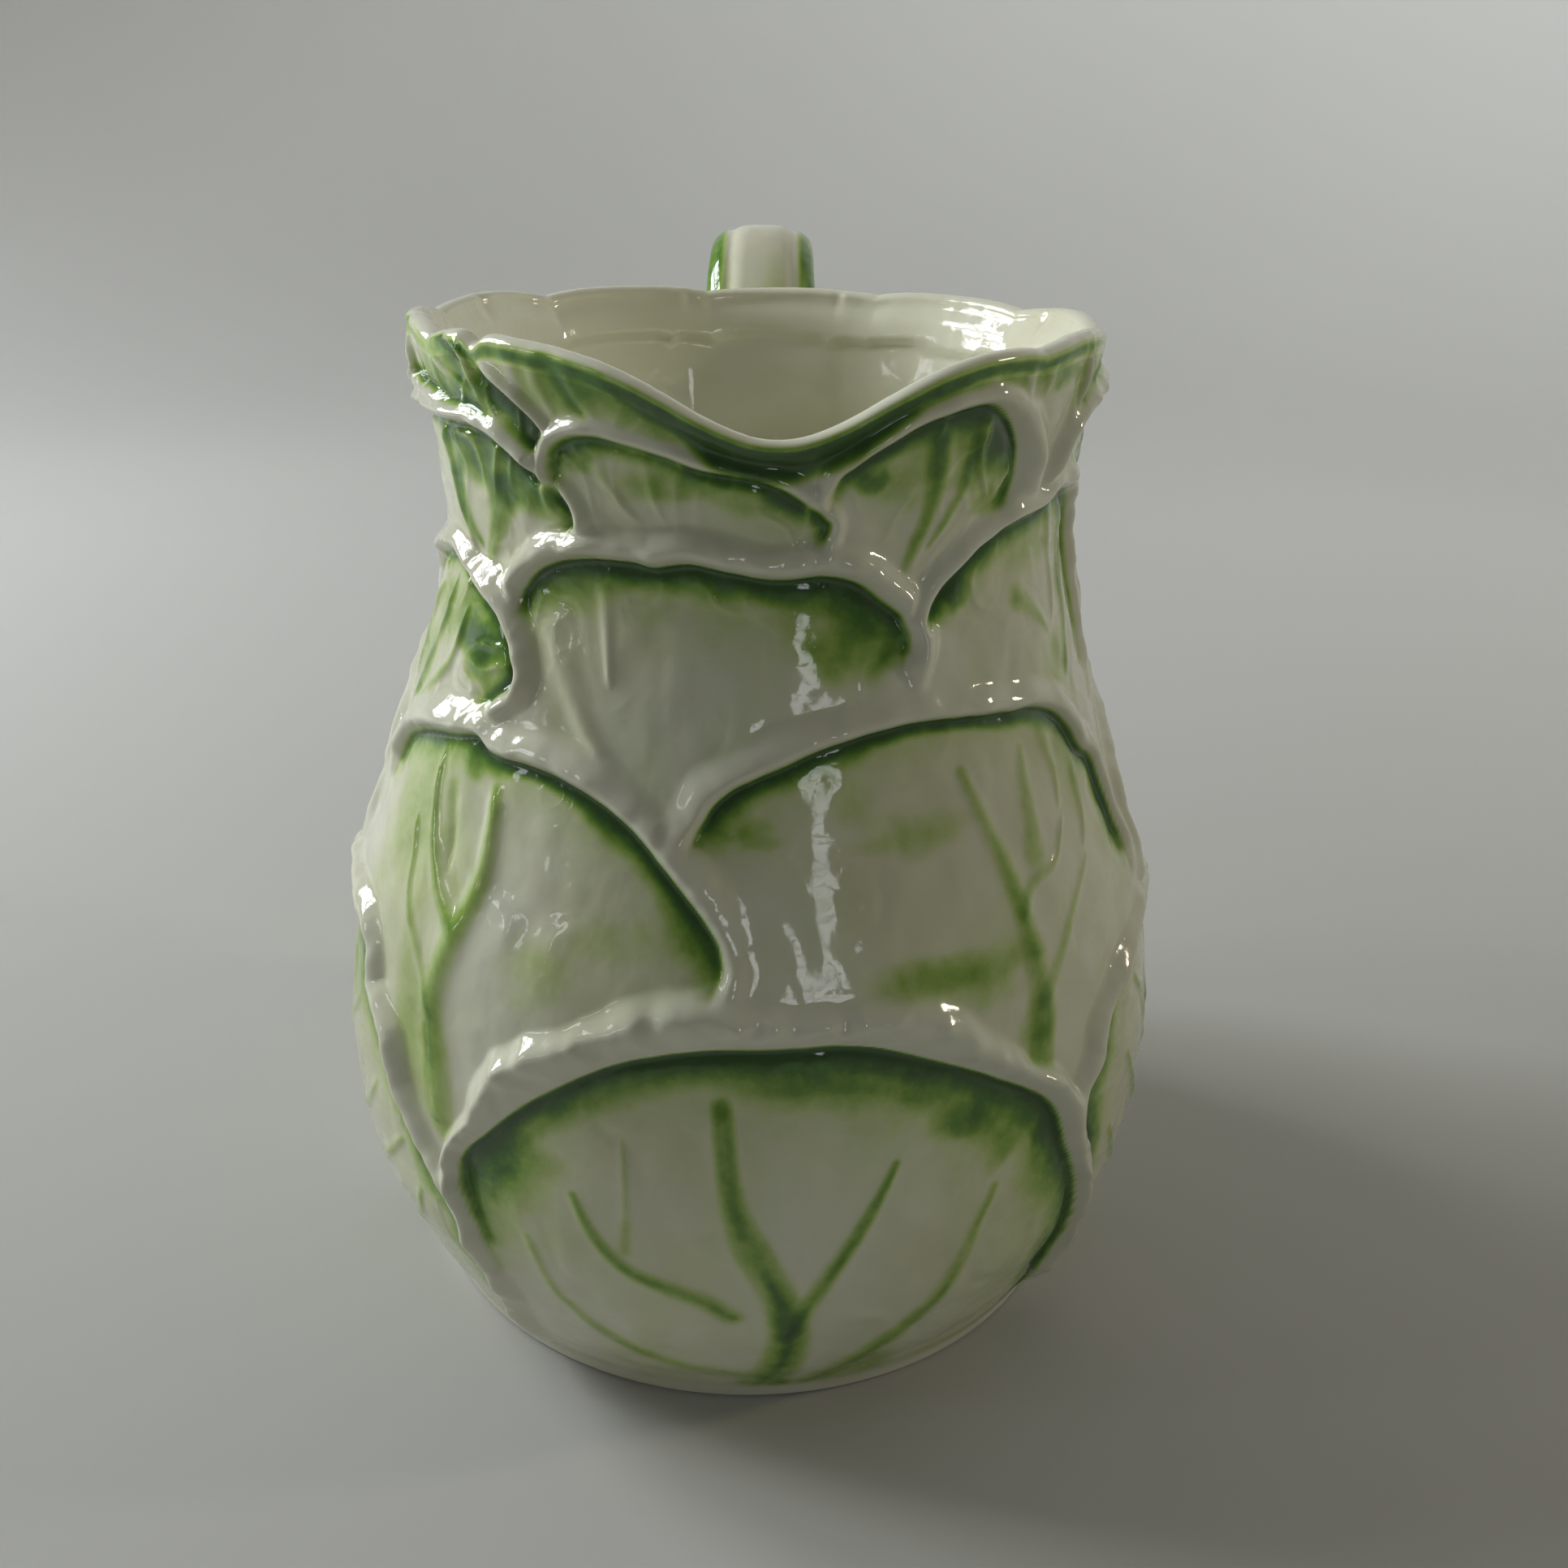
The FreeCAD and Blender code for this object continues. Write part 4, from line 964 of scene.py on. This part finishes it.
# --- materials ------------------------------------------------------------------------------
class Nodes:
    """Short ways to add and join shader nodes."""

    def __init__(self, name):
        self.material = bpy.data.materials.new(name)
        self.material.use_nodes = True
        self.tree = self.material.node_tree
        self.shader = self.tree.nodes["Principled BSDF"]
        self.place = self.tree.nodes.new("ShaderNodeTexCoord").outputs["Object"]

    def link(self, source, socket):
        self.tree.links.new(source, socket)

    def noise(self, scale, detail=3.0, roughness=0.5, distortion=0.0):
        node = self.tree.nodes.new("ShaderNodeTexNoise")
        node.inputs["Scale"].default_value = scale
        node.inputs["Detail"].default_value = detail
        node.inputs["Roughness"].default_value = roughness
        node.inputs["Distortion"].default_value = distortion
        self.link(self.place, node.inputs["Vector"])
        return node.outputs["Fac"]

    def spots(self, scale):
        node = self.tree.nodes.new("ShaderNodeTexVoronoi")
        node.inputs["Scale"].default_value = scale
        self.link(self.place, node.inputs["Vector"])
        return node.outputs["Distance"]

    def maths(self, operation, a, b, clamp=False):
        node = self.tree.nodes.new("ShaderNodeMath")
        node.operation = operation
        node.use_clamp = clamp
        for socket, value in zip(node.inputs, (a, b)):
            if isinstance(value, (int, float)):
                socket.default_value = value
            else:
                self.link(value, socket)
        return node.outputs[0]

    def remap(self, value, from_low, from_high, to_low, to_high):
        node = self.tree.nodes.new("ShaderNodeMapRange")
        self.link(value, node.inputs["Value"])
        for label, number in (("From Min", from_low), ("From Max", from_high),
                              ("To Min", to_low), ("To Max", to_high)):
            node.inputs[label].default_value = number
        return node.outputs["Result"]

    def ramp(self, value, stops):
        node = self.tree.nodes.new("ShaderNodeValToRGB")
        elements = node.color_ramp.elements
        while len(elements) < len(stops):
            elements.new(1.0)
        for element, (position, colour) in zip(elements, stops):
            element.position = position
            element.color = (*colour, 1.0)
        self.link(value, node.inputs["Fac"])
        return node.outputs["Color"]

    def mix(self, share, a, b, blend="MIX"):
        node = self.tree.nodes.new("ShaderNodeMix")
        node.data_type = "RGBA"
        node.blend_type = blend
        sockets = [s for s in node.inputs if s.enabled]
        for socket, value in zip(sockets, (share, a, b)):
            if isinstance(value, (int, float)):
                socket.default_value = value
            elif isinstance(value, tuple):
                socket.default_value = (*value, 1.0)
            else:
                self.link(value, socket)
        return [s for s in node.outputs if s.enabled][0]

    def bump(self, height, distance, strength, base=None):
        node = self.tree.nodes.new("ShaderNodeBump")
        node.inputs["Distance"].default_value = distance
        node.inputs["Strength"].default_value = strength
        self.link(height, node.inputs["Height"])
        if base is not None:
            self.link(base, node.inputs["Normal"])
        return node.outputs["Normal"]


def glaze(name, tint, paleness):
    """Glossy ivory glaze with hand-brushed green under it."""
    n = Nodes(name)
    painted = n.tree.nodes.new("ShaderNodeAttribute")
    painted.attribute_name = "green"
    amount = painted.outputs["Fac"]
    streaks = n.remap(n.noise(420.0, 4.0, 0.6), 0.3, 0.7, 0.82, 1.18)
    clouds = n.remap(n.noise(95.0, 3.0, 0.55), 0.25, 0.75, 0.85, 1.15)
    amount = n.maths("MULTIPLY", n.maths("MULTIPLY", amount, streaks), clouds)
    ivory = n.ramp(n.noise(38.0, 3.0, 0.5), [
        (0.30, tuple(paleness * part for part in (0.64, 0.62, 0.46))),
        (0.52, tuple(paleness * part for part in (0.69, 0.685, 0.53))),
        (0.72, tuple(paleness * part for part in (0.71, 0.71, 0.57)))])
    green = n.ramp(n.maths("MULTIPLY", amount, 0.66), [
        (0.00, (1.0, 1.0, 1.0)), (0.05, (0.91, 0.95, 0.80)), (0.14, (0.68, 0.82, 0.42)),
        (0.27, (0.40, 0.61, 0.13)), (0.42, (0.19, 0.40, 0.025)),
        (0.60, (0.065, 0.22, 0.008)), (0.95, (0.022, 0.10, 0.005))])
    body = n.mix(1.0, ivory, green, "MULTIPLY")
    specks = n.remap(n.spots(900.0), 0.05, 0.11, 0.35, 0.0)
    rare = n.remap(n.noise(260.0, 1.0), 0.66, 0.72, 0.0, 1.0)
    body = n.mix(n.maths("MULTIPLY", specks, rare, True), body, (0.16, 0.11, 0.06))
    body = n.mix(0.06, body, tint)
    n.link(body, n.shader.inputs["Base Color"])
    waves = n.bump(n.noise(55.0, 2.0, 0.4), 0.0009, 0.28)
    crinkles = n.bump(n.noise(300.0, 1.5, 0.45), 0.0004, 0.30, waves)
    orange_peel = n.bump(n.noise(900.0, 2.0, 0.5), 0.00006, 0.30, crinkles)
    n.link(orange_peel, n.shader.inputs["Normal"])
    rough = n.remap(n.noise(240.0, 2.0, 0.5), 0.3, 0.7, 0.05, 0.12)
    n.link(rough, n.shader.inputs["Roughness"])
    n.shader.inputs["IOR"].default_value = 1.47
    n.shader.inputs["Coat Weight"].default_value = 0.05
    n.shader.inputs["Coat Roughness"].default_value = 0.04
    return n.material


def bisque(name):
    """Unglazed fired clay on the foot that the jug stands on."""
    n = Nodes(name)
    colour = n.ramp(n.noise(160.0, 5.0, 0.6), [(0.3, (0.50, 0.42, 0.31)),
                                               (0.7, (0.66, 0.59, 0.47))])
    stain = n.remap(n.noise(45.0, 3.0), 0.5, 0.75, 0.0, 0.45)
    colour = n.mix(stain, colour, (0.30, 0.23, 0.16))
    n.link(colour, n.shader.inputs["Base Color"])
    n.link(n.bump(n.noise(1400.0, 3.0, 0.7), 0.0002, 0.6), n.shader.inputs["Normal"])
    n.link(n.remap(n.noise(300.0), 0.3, 0.7, 0.75, 0.92), n.shader.inputs["Roughness"])
    return n.material


def backdrop_paper(name):
    """Paper with painted light and shade: palest on the wall behind the jug as painted light, and
    grey on the wall in front of it as painted shade.
    """
    n = Nodes(name)
    colour = n.ramp(n.noise(2.2, 2.0, 0.5), [(0.3, (0.475, 0.473, 0.445)),
                                              (0.7, (0.505, 0.502, 0.472))])
    split = n.tree.nodes.new("ShaderNodeSeparateXYZ")
    n.link(n.place, split.inputs[0])
    # painted light: the high wall behind the jug is mixed towards a paler paper, as if more light
    # fell on it
    wall = n.remap(split.outputs["Z"], 0.01, 0.45, 0.0, 1.0)
    behind = n.maths("MULTIPLY", wall, n.remap(split.outputs["Y"], 0.1, 0.8, 0.0, 1.0))
    # painted shade: the paper in front of the jug is mixed towards dark grey, standing in for shade
    # from the dim room in front
    before = n.remap(split.outputs["Y"], -0.45, -0.95, 0.0, 1.0)
    colour = n.mix(behind, colour, (0.74, 0.735, 0.695))
    colour = n.mix(before, colour, (0.15, 0.15, 0.14))
    n.link(colour, n.shader.inputs["Base Color"])
    n.shader.inputs["Roughness"].default_value = 0.85
    n.shader.inputs["Specular IOR Level"].default_value = 0.15
    return n.material


# --- the scene round the jug ----------------------------------------------------------------
def make_backdrop():
    """Pale paper under the jug, curving up into a round wall far behind it on every side."""
    flat_radius, bend_radius, top, around = 0.75, 0.65, 2.0, 96
    outline = [(0.02, 0.0), (0.25, 0.0), (0.5, 0.0), (flat_radius, 0.0)]
    for step in range(1, 17):
        turn = math.radians(90.0 * step / 16.0)
        outline.append((flat_radius + bend_radius * math.sin(turn),
                        bend_radius * (1.0 - math.cos(turn))))
    outline.append((flat_radius + bend_radius, top))
    turn = np.linspace(0.0, 2.0 * np.pi, around, endpoint=False)
    rings = np.array([np.column_stack([r * np.sin(turn), -r * np.cos(turn),
                                       np.full(around, z)]) for r, z in outline])
    faces = np.concatenate([grid_faces(len(outline), around).reshape(-1, 4)[:, ::-1],
                            ring_cap(around, 0)[:, ::-1]])
    floor = new_mesh_object("paper_floor", rings.reshape(-1, 3), faces)
    floor.data.materials.append(backdrop_paper("paper_with_painted_light_and_shade"))


def aim(thing, target):
    direction = Vector(target) - thing.location
    thing.rotation_euler = direction.to_track_quat("-Z", "Y").to_euler()


def soft_light(name, azimuth, elevation, distance, size, power, colour,
               target=(0, 0, 0.09), panes=(1, 1)):
    """A rectangular lamp or a window of panes. Azimuth 0 is in front and grows towards +X."""
    columns, rows = panes
    glass = 1.0 if columns * rows == 1 else 0.84
    data = bpy.data.lights.new(name, "AREA")
    data.shape = "RECTANGLE"
    data.size = glass * size[0] / columns
    data.size_y = glass * size[1] / rows
    data.energy = power / (columns * rows)
    data.color = colour
    turn = math.radians(azimuth)
    rise = math.radians(elevation)
    for column in range(columns):
        for row in range(rows):
            lamp = bpy.data.objects.new(f"{name}_{column}_{row}", data)
            lamp.location = (distance * math.sin(turn) * math.cos(rise),
                             -distance * math.cos(turn) * math.cos(rise),
                             distance * math.sin(rise))
            aim(lamp, target)
            aside = Vector(((column + 0.5) / columns - 0.5, (row + 0.5) / rows - 0.5, 0.0))
            aside = Vector((aside.x * size[0], aside.y * size[1], 0.0))
            lamp.location += lamp.rotation_euler.to_matrix() @ aside
            bpy.context.scene.collection.objects.link(lamp)


def make_lights():
    cool = (0.93, 0.96, 1.0)
    warm = (1.0, 0.86, 0.66)
    soft_light("window_left", -110, 33, 1.10, (0.50, 0.62), 10.3, cool, panes=(2, 3))
    soft_light("window_low_left", -76, 20, 1.0, (0.13, 0.24), 0.36, cool, panes=(1, 2))
    soft_light("window_far_left", -57, 20, 1.0, (0.05, 0.20), 0.10, cool, panes=(1, 2))
    soft_light("lamp_right", 92, 28, 1.0, (0.08, 0.12), 1.10, warm)
    soft_light("window_front", 20, 17, 1.0, (0.16, 0.29), 0.50, cool, panes=(1, 3))
    soft_light("sky_top", 180, 84, 1.9, (1.7, 1.7), 2.0, cool)
    soft_light("backdrop_lamp", 130, 62, 1.1, (0.5, 0.5), 5.6, cool, (0.9, 1.2, 0.45))
    world = bpy.data.worlds.new("studio")
    world.use_nodes = True
    background = world.node_tree.nodes["Background"]
    background.inputs["Color"].default_value = (1.0, 0.96, 0.80, 1.0)
    background.inputs["Strength"].default_value = 0.03
    bpy.context.scene.world = world


CAMERA_PLACE = (0.0053, -0.2484, 0.1929)
CAMERA_TARGET = (0.0053, 0.0, 0.082)
CAMERA_ROLL = 1.23        # degrees
CAMERA_LENS = 36.52       # focal length, for a sensor 36 mm wide


def make_camera():
    """Looks slightly down at the jug's lip from close by, turned a little on its own axis."""
    data = bpy.data.cameras.new("camera")
    data.lens = CAMERA_LENS
    data.sensor_width = 36.0
    data.clip_start = 0.01
    camera = bpy.data.objects.new("camera", data)
    camera.location = CAMERA_PLACE
    aim(camera, CAMERA_TARGET)
    camera.rotation_euler.rotate_axis("Z", math.radians(CAMERA_ROLL))
    bpy.context.scene.collection.objects.link(camera)
    bpy.context.scene.camera = camera


# --- assembly -------------------------------------------------------------------------------
TIERS = ["leaf_rim", "leaf_lip", "leaf_neck", "leaf_shoulder", "leaf_belly", "leaf_foot"]


def laying_order(number):
    """Upper tiers are laid first, and the front foot leaf last of all, over its neighbours."""
    name = LEAVES[number]["name"]
    tier = [name.startswith(start) for start in TIERS].index(True)
    return name == "leaf_foot_front", tier


def build():
    relief = Relief()
    for number in sorted(range(len(LEAVES)), key=laying_order):
        relief.add_leaf(number, LEAVES[number])
    relief.brush_rim()
    relief.finish_surface()
    fill_unowned(relief)

    # painted light: the vessel's and handle's plain glaze is the leaves' ivory with a paler tint
    # and 1.25 times the paleness, as painted light on the inside, rim and handle
    glazes = {"leaf_glaze": glaze("brushed_leaf_glaze", (0.62, 0.66, 0.52), 1.0),
              "ivory_glaze": glaze("plain_ivory_painted_paler", (0.76, 0.76, 0.66), 1.25)}
    top_row = relief.z.shape[0] - 1 - int(RIM_BAND / ROW_STEP)
    for number, leaf in enumerate(LEAVES):
        piece = leaf_piece(relief, number, leaf["name"].replace("leaf_", "cabbage_leaf_"),
                           top_row)
        dress(piece, glazes, "leaf_glaze", leaf["name"])
    dress(vessel_piece(relief, top_row), glazes, "ivory_glaze", "vessel")
    nodes = {"strap_handle": "handle", "strap_upper_joint": "handle_upper_joint",
             "strap_lower_joint": "handle_lower_joint"}
    for name, piece in make_handle().items():
        dress(piece, glazes, "ivory_glaze", nodes[name])
    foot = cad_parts["foot_ring"]
    foot.data.materials.clear()
    foot.data.materials.append(bisque("bare_fired_clay"))


def fill_unowned(relief):
    """Gives every bare spot to the nearest leaf, so that the leaves clothe the whole side."""
    owner = relief.owner
    while (owner < 0).any():
        for neighbour in (np.roll(owner, 1, 1), np.roll(owner, -1, 1),
                          np.vstack([owner[1:], owner[-1:]]),
                          np.vstack([owner[:1], owner[:-1]])):
            owner = np.where((owner < 0) & (neighbour >= 0), neighbour, owner)
    relief.owner = owner


def dress(piece, glazes, slot, node):
    piece.data.materials.append(glazes[slot])
    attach(piece, "root")
    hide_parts(node)


build()
make_backdrop()
make_lights()
make_camera()
bpy.context.scene.view_settings.view_transform = "Standard"
